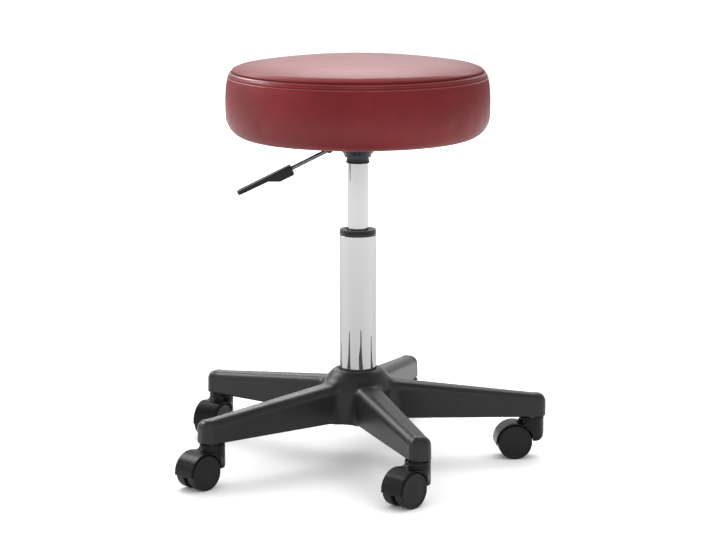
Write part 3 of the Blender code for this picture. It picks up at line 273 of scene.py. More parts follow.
# A nylon has two greys, a roughness, a grain scale and a gloss; a dark steel two colours, a roughness and a metal share
finishes = {
    "leather": leatherette(),
    "thread": threadFinish(),
    "base": nylon("black_nylon", 0.0125, 0.0175, 0.33, 2200.0, 0.22),
    "hood": nylon("black_hood", 0.0032, 0.0052, 0.27, 3000.0, 0.15),
    "wheel": nylon("black_wheel", 0.0045, 0.0075, 0.46, 1500.0, 0.2),
    "ring": nylon("black_ring", 0.005, 0.009, 0.3, 3200.0, 0.3),
    # painted reflection: the black collar is given a lighter grey, for the light its upper part reflects
    "collar": nylon("collar_painted_reflection_grey", 0.03, 0.045, 0.32, 3200.0, 0.3),
    "paddle": nylon("black_paddle", 0.004, 0.008, 0.44, 1300.0, 0.22),
    "stand": chrome("chrome_stand", 0.115),
    "chrome": chrome("chrome_lift", 0.0),
    "steel": zincSteel(),
    "coat": darkSteel("dark_powder_coat", (0.006, 0.0065, 0.0075, 1), (0.01, 0.011, 0.0125, 1), 0.36, 0.0),
    "cone": darkSteel("blued_steel", (0.022, 0.025, 0.029, 1), (0.04, 0.045, 0.051, 1), 0.2, 0.9),
    "bar": darkSteel("burnished_steel", (0.1, 0.1, 0.102, 1), (0.16, 0.16, 0.163, 1), 0.2, 0.9),
    "rubber": rubber(),
    "board": plywood(),
    "foam": foam(),
    "floor": floorFinish(),
}
print("finishes made:", len(finishes))


# Mesh kit

meshes = {
    "sharp": 38.0, "weld": 1e-6, "bends": 4, "cadWeld": 2e-6, "flat": 1.5, "edgeSteps": 2, "edgeAngle": 36.0,
}


def addPiece(name, points, faces, finish, sharp=meshes["sharp"]):
    form = bmesh.new()
    corners = [form.verts.new(point) for point in points]
    for face in faces:
        form.faces.new([corners[index] for index in face])
    bmesh.ops.remove_doubles(form, verts=form.verts, dist=meshes["weld"])
    bmesh.ops.recalc_face_normals(form, faces=form.faces)
    mesh = bpy.data.meshes.new(name)
    form.to_mesh(mesh)
    form.free()
    return addObject(name, mesh, finish, sharp)


def addObject(name, mesh, finish, sharp=meshes["sharp"]):
    mesh.shade_smooth()
    mesh.set_sharp_from_angle(angle=math.radians(sharp))
    mesh.materials.clear()
    mesh.materials.append(finishes[finish])
    piece = bpy.data.objects.new(name, mesh)
    scene.collection.objects.link(piece)
    return piece


def stand(piece, body, slot, *replaced):
    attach(piece, body)
    if replaced:
        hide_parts(*replaced)
    return piece


def turnedForm(profile, sides):
    # A (radius, height) profile turned about Z; a closed one ends where it starts
    points, faces, rows = [], [], []
    closed = profile[0] == profile[-1]
    for radius, height in profile[: len(profile) - closed]:
        start = len(points)
        if radius < 1e-6:
            points.append((0.0, 0.0, height))
        else:
            for side in range(sides):
                angle = math.tau * side / sides
                points.append((radius * math.cos(angle), radius * math.sin(angle), height))
        rows.append(list(range(start, len(points))))
    if closed:
        rows.append(rows[0])
    for row, following in zip(rows, rows[1:]):
        for side in range(sides):
            after = (side + 1) % sides
            corners = [row[side % len(row)], row[after % len(row)]]
            corners += [following[after % len(following)], following[side % len(following)]]
            corners = list(dict.fromkeys(corners))
            if len(corners) > 2:
                faces.append(corners)
    return points, faces


def strip(first, second, sides):
    # Faces between two rings of points that start at these numbers
    pairs = [(side, (side + 1) % sides) for side in range(sides)]
    return [(first + side, first + after, second + after, second + side) for side, after in pairs]


def fan(first, pole, sides):
    return [(first + side, first + (side + 1) % sides, pole) for side in range(sides)]


def roundedPath(corners):
    # Corners are (x, y, fillet); the path bends round each one on its fillet
    path, steps = [], meshes["bends"]
    for index, (x, y, fillet) in enumerate(corners):
        here = Vector((x, y))
        if fillet == 0.0 or index in (0, len(corners) - 1):
            path.append((x, y))
            continue
        back = Vector(corners[index - 1][:2]) - here
        ahead = Vector(corners[index + 1][:2]) - here
        half = back.angle(ahead) / 2
        cut = min(fillet / math.tan(half), back.length * 0.48, ahead.length * 0.48)
        start = back.normalized() * cut
        end = ahead.normalized() * cut
        centre = (start + end).normalized() * (cut / math.cos(half))
        for step in range(steps + 1):
            share = step / steps
            spoke = (start - centre).lerp(end - centre, share).normalized()
            point = here + centre + spoke * (cut * math.tan(half))
            path.append((point.x, point.y))
    return path


def dressed(name, node, finish, edge):
    # A copy of a CAD node with its flats cleaned up and its edges broken
    form = bmesh.new()
    form.from_mesh(nodes[node].data)
    bmesh.ops.remove_doubles(form, verts=form.verts, dist=meshes["cadWeld"])
    flat = math.radians(meshes["flat"])
    bmesh.ops.dissolve_limit(form, angle_limit=flat, verts=form.verts, edges=form.edges)
    mesh = bpy.data.meshes.new(name)
    form.to_mesh(mesh)
    form.free()
    piece = addObject(name, mesh, finish)
    bevel = piece.modifiers.new("edge", "BEVEL")
    bevel.width = edge
    bevel.segments = meshes["edgeSteps"]
    bevel.limit_method = "ANGLE"
    bevel.angle_limit = math.radians(meshes["edgeAngle"])
    bevel.use_clamp_overlap = True
    return bake(piece)


def remeshed(piece, voxel):
    net = piece.modifiers.new("net", "REMESH")
    net.mode = "VOXEL"
    net.voxel_size = voxel
    return bake(piece)


def bake(piece):
    # Applies a piece's modifiers
    graph = bpy.context.evaluated_depsgraph_get()
    mesh = bpy.data.meshes.new_from_object(piece.evaluated_get(graph))
    mesh.name = piece.name
    piece.modifiers.clear()
    piece.data = mesh
    return piece


def coordinates(mesh):
    flat = np.zeros(len(mesh.vertices) * 3)
    mesh.vertices.foreach_get("co", flat)
    return flat.reshape(-1, 3)


def setCoordinates(mesh, points):
    mesh.vertices.foreach_set("co", np.ascontiguousarray(points).ravel())
    mesh.update()


def hump(away, width):
    return np.exp(-((away / width) ** 2))


def ramp(value, start, over):
    return np.clip((value - start) / over, 0.0, 1.0)


def paintPoints(mesh, name, values):
    layer = mesh.attributes.new(name, "FLOAT", "POINT")
    layer.data.foreach_set("value", np.asarray(values, np.float32))


# Moulded forms: an even net of points drawn onto a field that is zero on the surface

moulding = {"step": 2e-5, "flattest": 0.05, "firstRounds": 6, "smoothings": 3, "rounds": 3, "pull": 0.5}


def softMin(first, second, reach):
    near = np.maximum(reach - np.abs(first - second), 0.0) / reach
    return np.minimum(first, second) - near * near * reach / 4


def roundMax(first, second, radius):
    a, b = first + radius, second + radius
    return np.minimum(np.maximum(a, b), 0.0) + np.hypot(np.maximum(a, 0.0), np.maximum(b, 0.0)) - radius


def slope(field, points):
    parts, step = [], moulding["step"]
    for axis in range(3):
        shift = np.zeros(3)
        shift[axis] = step
        parts.append((field(points + shift) - field(points - shift)) / (2 * step))
    return np.stack(parts, 1)


def drawOnto(field, points, rounds, reach):
    for _ in range(rounds):
        value = field(points)
        rise = slope(field, points)
        steep = np.maximum((rise * rise).sum(1), moulding["flattest"])
        move = rise * (value / steep)[:, None]
        length = np.linalg.norm(move, axis=1, keepdims=True)
        points = points - move * np.minimum(1.0, reach / np.maximum(length, 1e-9))
    return points


def moulded(name, source, field, voxel, finish):
    mesh = source.copy()
    mesh.name = name
    piece = remeshed(addObject(name, mesh, finish), voxel)
    mesh = piece.data
    points = drawOnto(field, coordinates(mesh), moulding["firstRounds"], voxel)
    pairs = np.zeros(len(mesh.edges) * 2, int)
    mesh.edges.foreach_get("vertices", pairs)
    pairs = pairs.reshape(-1, 2)
    count = np.zeros(len(points))
    np.add.at(count, pairs.ravel(), 1)
    pull = moulding["pull"]  # how far each point goes to the mean of its neighbours
    for _ in range(moulding["smoothings"]):
        total = np.zeros_like(points)
        np.add.at(total, pairs[:, 0], points[pairs[:, 1]])
        np.add.at(total, pairs[:, 1], points[pairs[:, 0]])
        evened = points * (1 - pull) + total / count[:, None] * pull
        points = drawOnto(field, evened, moulding["rounds"], voxel)
    setCoordinates(mesh, points)
    mesh.materials.clear()
    mesh.materials.append(finishes[finish])
    mesh.shade_smooth()
    return piece


# Five-legged base

base = {
    "circle": 0.2377, "reach": 0.2566, "tipHalf": 0.0145, "widening": 0.023, "draft": 0.0008,
    "under": 0.058011, "tipHeight": 0.0308, "rise": 0.103, "shoulder": 0.0112, "corner": 0.0125,
    "hub": 0.0495, "hubTop": 0.125211, "hubFoot": 0.056211, "dome": 0.0245, "domePower": 2.2, "rim": 0.0275,
    "bore": 0.0253, "boreFoot": 0.0241, "sleeve": 0.0313, "groove": 0.0105, "grooveDepth": 0.03,
    "wall": 0.0035, "pockets": 4, "rib": 0.003, "pocketStart": 0.061, "pocketEnd": 0.2277,
    "pocketCorner": 0.0015, "roofCorner": 0.0025, "stem": 0.0058, "stemDepth": 0.0228, "fillet": 0.0075,
    "sideFillet": 0.006, "sideFrom": 0.008, "sideOver": 0.02, "between": 0.006, "edge": 0.0014, "rub": 0.005,
    "voxel": 0.0016,
}


def legTop(x):
    return base["under"] + base["tipHeight"] + base["rise"] * (base["circle"] - np.minimum(x, base["circle"]))


def legHalf(x):
    return base["tipHalf"] + base["widening"] * (base["circle"] - np.minimum(x, base["circle"]))


def legField(x, y, z):
    top = legTop(x)
    lean = base["draft"] * np.clip((top - z) / base["tipHeight"], 0.0, 1.0)
    plan = roundMax(np.abs(y) - legHalf(x) - lean, x - base["reach"], base["corner"])
    return roundMax(plan, z - top, base["shoulder"])


def hubField(radius, z):
    wide = base["hub"] - base["rim"]
    out = np.maximum(radius - base["rim"], 0.0) / wide
    up = np.maximum(z - base["hubTop"] + base["dome"], 0.0) / base["dome"]
    cap = (np.sqrt(out**2 + up ** (2 / base["domePower"])) - 1.0) * wide
    return np.maximum(cap, z - base["hubTop"])


def baseField(points):
    b = base
    x, y, z = points.T
    radius = np.hypot(x, y)
    step = math.tau / len(casterNames)
    turn = (np.arctan2(y, x) + step / 2) % step - step / 2
    along, across = radius * np.cos(turn), radius * np.sin(turn)
    turn = step - np.abs(turn)
    beside = legField(radius * np.cos(turn), radius * np.sin(turn), z)
    legs = softMin(legField(along, across, z), beside, b["between"])
    legs = roundMax(legs, b["under"] - z, b["edge"])
    down = np.clip((legTop(radius) - b["sideFrom"] - z) / b["sideOver"], 0.0, 1.0)
    fillet = b["fillet"] + b["sideFillet"] * down  # wider down the sides than on top
    solid = softMin(legs, roundMax(hubField(radius, z), b["hubFoot"] - z, b["edge"]), fillet)
    solid = np.maximum(solid, b["hubFoot"] - z)
    solid = np.where(radius > b["hub"] + fillet, roundMax(solid, b["under"] - z, b["edge"]), solid)
    pitch = (b["pocketEnd"] - b["pocketStart"] + b["rib"]) / b["pockets"]
    half = (pitch - b["rib"]) / 2
    cell = np.abs((along - b["pocketStart"]) % pitch - half) - half
    ends = np.maximum(b["pocketStart"] - along, along - b["pocketEnd"])
    roof = z - legTop(along) + b["wall"] + b["shoulder"] / 2
    walls = np.abs(across) - legHalf(along) + b["wall"]
    pocket = roundMax(np.maximum(cell, ends), walls, b["pocketCorner"])
    pocket = roundMax(pocket, roof, b["roofCorner"])
    share = np.clip((b["hubTop"] - z) / (b["hubTop"] - b["under"]), 0.0, 1.0)
    bore = radius - b["bore"] + (b["bore"] - b["boreFoot"]) * share
    ring = np.maximum(b["sleeve"] - radius, radius - b["sleeve"] - b["groove"])
    ring = np.maximum(ring, z - b["hubFoot"] - b["grooveDepth"])
    socket = np.hypot(along - b["circle"], across) - b["stem"]
    socket = np.maximum(socket, z - b["under"] - b["stemDepth"])
    hollow = np.minimum(np.minimum(pocket, bore), np.minimum(ring, socket))
    return roundMax(solid, -hollow, b["edge"] / 2)


def makeBase():
    piece = moulded("base_moulding", nodes["star_base"].data, baseField, base["voxel"], "base")
    points = coordinates(piece.data)
    reach = np.hypot(points[:, 0], points[:, 1])
    rub = hump(legTop(reach) - points[:, 2], base["rub"]) * (reach > base["hub"])
    paintPoints(piece.data, "rub", rub)
    stand(piece, "base", "nylon", "star_base")
    print("base:", len(points), "points")


# Casters

caster = {
    "trail": 0.0245, "axle": 0.023211, "width": 0.036, "inset": 0.0008, "hood": 0.0262, "well": 0.0245,
    "lip": -7.0, "back": 150.0, "web": 0.006, "boss": 0.0072, "neck": 0.0168, "neckTop": 0.056611,
    "footRaise": 0.0017, "footHeight": 0.0115, "footRun": 0.011, "saddle": 0.009, "edge": 0.0009,
    "bossEdge": 0.0004, "axleBore": 0.0033, "stemBore": 0.0058, "stemFoot": 0.0453, "voxel": 0.0008,
}
wheel = {
    "radius": 0.02321, "inner": 0.0038, "width": 0.0142, "edge": 0.0013, "dish": 0.0007, "rim": 0.0202,
    "cap": 0.006, "recess": 0.002, "hub": 0.0062, "bore": 0.0033, "boreDepth": 0.01, "sides": 96,
}


def hoodField(points):
    c = caster
    x, y, z = points.T
    over, up = x - c["trail"], z - c["axle"]
    fromAxle, fromStem = np.hypot(over, up), np.hypot(x, y)
    lip, back = math.radians(c["lip"]), math.radians(c["back"])
    front = math.sin(lip) * over - math.cos(lip) * up
    rear = math.cos(back) * up - math.sin(back) * over
    side = np.abs(y) - c["width"] / 2 + c["inset"]
    fender = roundMax(fromAxle - c["hood"], side, c["edge"])
    fender = roundMax(fender, np.maximum(front, rear), c["edge"])
    foot = c["axle"] + c["footRaise"]
    run = np.clip((x + c["neck"]) / c["footRun"], 0.0, 1.0)
    under = foot + c["footHeight"] * (1 - np.sqrt(1 - (1 - run) ** 2)) - z
    neck = roundMax(fromStem - c["neck"], z - c["neckTop"], c["edge"])
    solid = softMin(fender, roundMax(neck, under, c["edge"]), c["saddle"])
    solid = np.maximum(solid, z - c["neckTop"])
    inner = c["web"] / 2 - np.abs(y)
    boss = roundMax(fromAxle - c["boss"], -inner, c["bossEdge"])
    wells = np.maximum(fromAxle - c["well"], inner)
    solid = np.minimum(np.maximum(solid, -wells), boss)
    stemHole = np.maximum(fromStem - c["stemBore"], c["stemFoot"] - z)
    return np.maximum(solid, -np.minimum(fromAxle - c["axleBore"], stemHole))


def casterPlace(name):
    # Where a caster stands and how far it is turned, read from its joints
    stem = Vector(joints[f"caster_{name}_swivel"]["pos_m"])
    axle = Vector(joints[f"wheel_{name}_left_spin"]["pos_m"])
    turn = math.atan2(axle.y - stem.y, axle.x - stem.x)
    return Matrix.Translation((stem.x, stem.y, 0.0)) @ Matrix.Rotation(turn, 4, "Z")


def wheelForm():
    # Turned about Z: the face towards the web is at height 0, the outer face is dished
    w = wheel
    width, rim, radius, hub, bore = w["width"], w["rim"], w["radius"], w["hub"], w["bore"]
    corners = [
        (0.0, width + 0.0003, 0.0), (w["cap"], width + 0.0002, 0.001), (rim - 0.0009, width - w["dish"], 0.0006),
        (rim, width, 0.0003), (radius, width - 0.0001, w["edge"]), (radius, 0.0, w["edge"]), (rim, 0.0, 0.0003),
        (rim - 0.001, w["recess"], 0.0003), (hub + 0.0004, w["recess"], 0.0004), (hub, 0.0, 0.0003),
        (bore, 0.0, 0.0002), (bore, w["boreDepth"], 0.0), (0.0, w["boreDepth"], 0.0),
    ]
    return turnedForm(roundedPath(corners), w["sides"])


def makeCasters():
    local = nodes["caster_hood_right"].data.copy()
    local.transform(casterPlace("right").inverted())
    shared = moulded("caster_hood_form", local, hoodField, caster["voxel"], "hood")
    hoodMesh = shared.data
    bpy.data.objects.remove(shared)
    tyre = addPiece("wheel_form", *wheelForm(), "wheel")
    wheelMesh = tyre.data
    bpy.data.objects.remove(tyre)
    for name in casterNames:
        place = casterPlace(name)
        hood = bpy.data.objects.new(f"hood_{name}", hoodMesh)
        scene.collection.objects.link(hood)
        hood.matrix_world = place
        stand(hood, f"caster_{name}", "hood", f"caster_hood_{name}")
        for sign, label in ((1, "left"), (-1, "right")):
            roller = bpy.data.objects.new(f"roller_{name}_{label}", wheelMesh)
            scene.collection.objects.link(roller)
            middle = Matrix.Translation((caster["trail"], sign * wheel["inner"], caster["axle"]))
            roller.matrix_world = place @ middle @ Matrix.Rotation(-sign * math.pi / 2, 4, "X")
            stand(roller, f"wheel_{name}_{label}", "wheel", f"wheel_{name}_{label}")
    print("casters: hood", len(hoodMesh.vertices), "points, wheel", len(wheelMesh.vertices))


# Column

column = {
    "sides": 128, "stand": 0.025, "standWall": 0.0015, "standFoot": 0.0238, "footHole": 0.0043, "footThick": 0.003,
    "footInner": 0.0223, "lift": 0.014, "liftWall": 0.0015, "runningGap": 0.0003, "ringHeight": 0.0074,
    "dishDepth": 0.0012, "dishFoot": 0.0165, "dishTop": 0.0172, "groove": 0.0009, "nose": 0.0133,
    "noseLength": 0.0125, "valveBore": 0.0038, "valveDepth": 0.012, "collarTop": 0.0146, "collarWide": 0.0157,
    "collarFoot": 0.0152, "lip": 0.0161, "lipBore": 0.015, "lipHeight": 0.0026,
}


def span(node):
    low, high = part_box(node)
    return low.z, high.z


def turned(name, corners, finish, body, slot, *replaced):
    form = turnedForm(roundedPath(corners), column["sides"])
    stand(addPiece(name, *form, finish), body, slot, *replaced)


def makeColumn():
    c = column
    outer, inner, hubTop = c["stand"], c["stand"] - c["standWall"], base["hubTop"]
    foot, top = span("stand_tube")
    floor = foot + c["footThick"]
    turned("stand_tube_chrome", [
        (inner, top, 0.0), (outer, top, 0.0005), (outer, hubTop, 0.0), (c["standFoot"], foot, 0.0006),
        (c["footHole"], foot, 0.0), (c["footHole"], floor, 0.0), (c["footInner"], floor, 0.0),
        (inner, hubTop, 0.0), (inner, top, 0.0),
    ], "stand", "base", "chrome", "stand_tube")

    low, high = span("guide_sleeve")
    ring, dish, groove = high - c["ringHeight"], high - c["dishDepth"], outer - c["groove"]
    bore, sleeve = c["lift"] + c["runningGap"], inner - c["runningGap"]
    turned("guide_ring", [
        (bore, low, 0.0), (bore, dish, 0.0008), (c["dishFoot"], dish, 0.0004), (c["dishTop"], high, 0.0005),
        (outer - 0.0006, high, 0.0008), (outer - 0.0001, high - 0.0028, 0.0003), (groove, high - 0.0031, 0.0002),
        (groove, high - 0.0036, 0.0002), (outer, high - 0.0039, 0.0003), (outer, ring, 0.0004),
        (sleeve, ring, 0.0), (sleeve, low, 0.0), (bore, low, 0.0),
    ], "ring", "base", "ring", "guide_sleeve")

    foot, top = span("lift_tube")
    outer, inner, valve = c["lift"], c["lift"] - c["liftWall"], top - c["valveDepth"]
    turned("lift_tube_chrome", [
        (c["valveBore"], valve, 0.0), (c["valveBore"], top, 0.0), (c["nose"], top, 0.0006),
        (outer, top - c["noseLength"], 0.0), (outer, foot, 0.0005), (inner, foot, 0.0), (inner, valve, 0.0),
        (c["valveBore"], valve, 0.0),
    ], "chrome", "seat", "chrome", "lift_tube")

    foot, top = span("top_collar")
    turned("lift_collar", [
        (bore, top, 0.0), (c["collarTop"], top, 0.0003), (c["collarTop"] + 0.0002, top - 0.0022, 0.0004),
        (c["collarWide"], foot + 0.003, 0.0004), (c["collarFoot"], foot + 0.0024, 0.0002),
        (c["collarFoot"], foot, 0.0003), (bore, foot, 0.0), (bore, top, 0.0),
    ], "collar", "seat", "ring", "top_collar")
    lip, lipTop = c["lip"], foot + c["lipHeight"]
    turned("collar_lip", [
        (c["lipBore"], lipTop, 0.0), (lip - 0.0002, lipTop, 0.0004), (lip, foot + 0.0008, 0.0005),
        (lip - 0.0004, foot, 0.0003), (c["lipBore"], foot, 0.0), (c["lipBore"], lipTop, 0.0),
    ], "hood", "seat", "ring")
    print("column made")


# Seat

seat = {
    "top": 0.55, "crown": 0.014, "crownRadius": 0.161, "crownEnd": 0.157, "rollOut": (0.1675, 0.5345),
    "rollDown": (0.1735, 0.5275), "sideTop": 0.512, "fullest": 0.1768, "fullestHeight": 0.487, "bulge": 0.234,
    "foot": 0.4418, "footRound": 0.031, "hem": 0.1133, "thickness": 0.0018, "sides": 240, "sharp": 60.0,
    "firstRow": 0.004, "finest": 0.0004, "growth": 0.1, "coarsest": 0.0045,
    "lining": (
        (0.162, 0.4538), (0.1715, 0.4712), (0.1745, 0.487), (0.1725, 0.512), (0.169, 0.5215), (0.164, 0.528),
        (0.153, 0.5338), (0.1, 0.5415), (0.0, 0.5472),
    ),
    "liningFlat": 0.1445,
}
sewing = {
    "upperSeam": 0.5302, "lowerSeam": 0.5232, "upperDepth": 0.0012, "upperWidth": 0.00065, "lowerDepth": 0.0007,
    "lowerWidth": 0.00055, "puckers": 132, "puckerDepth": 0.0001, "upperPull": 0.006, "lowerPull": 0.009,
    "upperWelts": ((0.0006, -0.0034, 0.0022), (0.0005, 0.0028, 0.0016)),  # height, place from the seam, width
    "lowerWelts": ((0.0006, 0.0015, 0.0009),),
    "tucks": 58, "tuckDepth": 0.0005, "tuckFade": 0.004, "tuckRadius": 0.147,
    "stitches": 288, "stitchLength": 0.0027, "stitchRadius": 0.00032, "stitchAbove": 0.0021,
    "stitchForm": ((-1.0, -0.0006), (-0.6, 0.0001), (0.0, 0.0003), (0.6, 0.0001), (1.0, -0.0006)),
    "staples": 44, "stapleIn": 0.011, "stapleDown": 0.0009, "stapleHalf": 0.005, "stapleLeg": 0.0012,
    "stapleRadius": 0.0005,
}
swell = {
    "voxel": 0.005, "pressure": 4.0, "frames": 20, "shrink": -0.035, "bending": 2.0, "cap": 0.003, "rows": 60,
    "sides": 96, "hemHeight": 0.006, "seamUp": 0.002, "seamReach": 0.005, "seamRadius": 0.164, "near": 5,
    "soften": 0.001, "wrinkle": 0.5, "inward": 0.0009, "outward": 0.0012, "calmReach": 0.03, "onTop": 0.35,
    "atFoot": 0.25, "footFrom": 0.012,
}
# Where the cover's painted seam shade, painted bead highlights and painted lighter top lie, with the masks that set
# roughness on the roll and coat low on the side
coverPaintedLightAndGloss = {
    "outer": 0.166, "upperSeam": 0.0011, "lowerSeam": 0.0006, "lowerShare": 0.3, "rollDown": 0.0034, "roll": 0.0026,
    "upperBead": 0.0016, "lowerBead": 0.0011, "bead": 0.0006, "topFrom": 0.35, "topOver": 0.5, "middle": 0.095,
    "middleOver": 0.08, "rim": 0.25, "lowOver": 0.05, "footFrom": 0.004, "footOver": 0.022, "footShare": 0.35,
}


def sideRadius(z):
    return seat["fullest"] - (z - seat["fullestHeight"]) ** 2 / (2 * seat["bulge"])


def crownHeight(radius):
    return seat["top"] - seat["crown"] * (radius / seat["crownRadius"]) ** 2


def seatCurve():
    # The plain outline from the crown's middle over the roll and down to the hem
    s = seat
    path = [(r, crownHeight(r)) for r in np.linspace(0.0, s["crownEnd"], 160)]
    start, end = path[-1], (sideRadius(s["sideTop"]), s["sideTop"])
    for t in np.linspace(0.0, 1.0, 90)[1:]:
        weights = ((1 - t) ** 3, 3 * t * (1 - t) ** 2, 3 * t * t * (1 - t), t**3)
        ends = (start, s["rollOut"], s["rollDown"], end)
        path.append(tuple(sum(w * p[i] for w, p in zip(weights, ends)) for i in (0, 1)))
    low = s["foot"] + s["footRound"]
    path += [(sideRadius(z), z) for z in np.linspace(s["sideTop"], low, 120)[1:]]
    turnIn = sideRadius(low) - s["footRound"]
    for angle in np.linspace(0.0, math.pi / 2, 60)[1:]:
        path.append((turnIn + s["footRound"] * math.cos(angle), low - s["footRound"] * math.sin(angle)))
    path += [(r, s["foot"]) for r in np.linspace(turnIn, s["hem"], 30)[1:]]
    return np.array(path)


def pathSteps(path):
    return np.linalg.norm(np.diff(path, axis=0), axis=1)


def pathLengths(path):
    return np.r_[0.0, np.cumsum(pathSteps(path))]


def resampled(path, spots):
    lengths = pathLengths(path)
    return np.stack([np.interp(spots, lengths, path[:, 0]), np.interp(spots, lengths, path[:, 1])], 1)


def lengthAt(path, height):
    # How far along the path its outer side passes a height
    return float(np.interp(-height, -path[:, 1], pathLengths(path)))


def clothSwell(path):
    # Inflates a plain copy of the cover as cloth, sewn down at its seam and hem, and gives how each point moved
    w = swell
    coarse = resampled(path, np.linspace(0.0, pathSteps(path).sum(), w["rows"]))
    profile = [tuple(point) for point in coarse] + [(0.0, seat["foot"])]
    pad = remeshed(addPiece("swell_pad", *turnedForm(profile, w["sides"]), "leather"), w["voxel"])
    before = coordinates(pad.data)
    radius, height = np.hypot(before[:, 0], before[:, 1]), before[:, 2]
    hem = (height < seat["foot"] + w["hemHeight"]) & (radius < sideRadius(seat["foot"]))
    fromSeam = np.abs(height - sewing["lowerSeam"] - w["seamUp"])
    sewn = (fromSeam < w["seamReach"]) & (radius > w["seamRadius"])
    group = pad.vertex_groups.new(name="sewn")
    group.add([int(i) for i in np.flatnonzero(hem | sewn)], 1.0, "REPLACE")
    cloth = pad.modifiers.new("cloth", "CLOTH")
    cloth.settings.use_pressure = True
    cloth.settings.uniform_pressure_force = w["pressure"]
    cloth.settings.shrink_min = w["shrink"]
    cloth.settings.vertex_group_mass = "sewn"
    cloth.settings.bending_stiffness = w["bending"]
    cloth.settings.effector_weights.gravity = 0.0
    cloth.point_cache.frame_start = 1
    cloth.point_cache.frame_end = w["frames"]
    for step in range(1, w["frames"] + 1):
        scene.frame_set(step)
    bake(pad)
    moved = coordinates(pad.data) - before
    bpy.data.objects.remove(pad)
    length = np.linalg.norm(moved, axis=1, keepdims=True)
    moved *= np.minimum(1.0, w["cap"] / np.maximum(length, 1e-9))
    print("cloth:", len(before), "points, largest move", round(float(length.max()) * 1000, 1), "mm")
    return before, moved


def wrinkles(points, normals, before, moved):
    # The cloth's movement along each normal, less its mean round each ring, so the outline stays as measured
    w = swell
    tree = KDTree(len(before))
    for index, point in enumerate(before):
        tree.insert(point, index)
    tree.balance()
    depth = np.zeros(len(points))
    for index, point in enumerate(points):
        found = tree.find_n(point, w["near"])
        weights = np.array([1.0 / (distance + w["soften"]) for _, _, distance in found])
        move = (moved[[i for _, i, _ in found]] * weights[:, None]).sum(0) / weights.sum()
        depth[index] = move @ normals[index]
    depth = depth.reshape(-1, seat["sides"])
    depth -= depth.mean(1, keepdims=True)
    return np.clip(depth * w["wrinkle"], -w["inward"], w["outward"]).ravel()


def calmed(outline, fromUpper):
    # Holds the wrinkles back at the seam, on top and at the foot
    w = swell
    height = outline[:, 1]
    calm = ramp(np.abs(fromUpper - 0.003), 0.0, w["calmReach"]) ** 2
    calm *= np.where(height > sewing["upperSeam"], w["onTop"], 1.0)
    calm *= w["atFoot"] + (1 - w["atFoot"]) * ramp(height - seat["foot"], w["footFrom"], w["calmReach"])
    return np.repeat(calm, seat["sides"])


def coverRows(path, upper, lower):
    # Where the rows of the cover lie along the path: close at the seams, wider away from them
    s = seat
    total = pathSteps(path).sum()
    spots = [s["firstRow"]]
    while spots[-1] < total:
        gap = min(abs(spots[-1] - upper), abs(spots[-1] - lower))
        spots.append(spots[-1] + min(s["finest"] + s["growth"] * gap, s["coarsest"]))
    return np.array(spots[:-1] + [total])


def ringed(rows, ring):
    # A (radius, height) pair for each row, taken round the ring
    flat = rows[:, None, :1] * ring[None]
    return np.concatenate([flat, np.repeat(rows[:, None, 1:], len(ring), 1)], 2).reshape(-1, 3)


def sewnDepth(outline, fromUpper, fromLower, angle):
    # How far the seams, the welts beside them, the puckers and the tucks at the hem stand out
    w = sewing
    sewn = -w["upperDepth"] * hump(fromUpper, w["upperWidth"])
    sewn -= w["lowerDepth"] * hump(fromLower, w["lowerWidth"])
    for away, welts in ((fromUpper, w["upperWelts"]), (fromLower, w["lowerWelts"])):
        for height, place, width in welts:
            sewn += height * hump(away - place, width)
    pull = np.exp(-np.abs(fromUpper + 0.001) / w["upperPull"]) * (fromUpper < 0)
    pull += np.exp(-np.abs(fromLower) / w["lowerPull"]) * (fromLower > 0)
    gather = np.sin(w["puckers"] * angle + 2.1 * np.sin(5 * angle) + 1.3 * np.sin(11 * angle))  # unevenly spaced
    depth = sewn[:, None] + w["puckerDepth"] * pull[:, None] * gather[None]
    underneath = np.clip((outline[:, 1] - seat["foot"]) / -w["tuckFade"] + 1.0, 0.0, 1.0)
    underneath *= outline[:, 0] < w["tuckRadius"]
    tucks = 0.5 + 0.5 * np.sin(w["tucks"] * angle + 1.7 * np.sin(7 * angle))
    depth += w["tuckDepth"] * underneath[:, None] * tucks[None] ** 2
    return depth.ravel()


def coverForm(points, ring):
    # The rows of the cover, its middle point on top, and the lining inside
    s, sides = seat, len(ring)
    last = len(points) - sides
    faces = []
    for first in range(0, last, sides):
        faces += strip(first, first + sides, sides)
    faces += fan(0, len(points), sides)
    made = [tuple(point) for point in points] + [(0.0, 0.0, s["top"])]
    inside = s["foot"] + s["thickness"]
    lining = [(s["hem"], inside), (s["liningFlat"], inside), *s["lining"]]
    for radius, height in lining[:-1]:
        first = len(made)
        made += [(radius * c, radius * n, height) for c, n in ring]
        faces += strip(last, first, sides)
        last = first
    made.append((0.0, 0.0, lining[-1][1]))
    return made, faces + fan(last, len(made) - 1, sides)


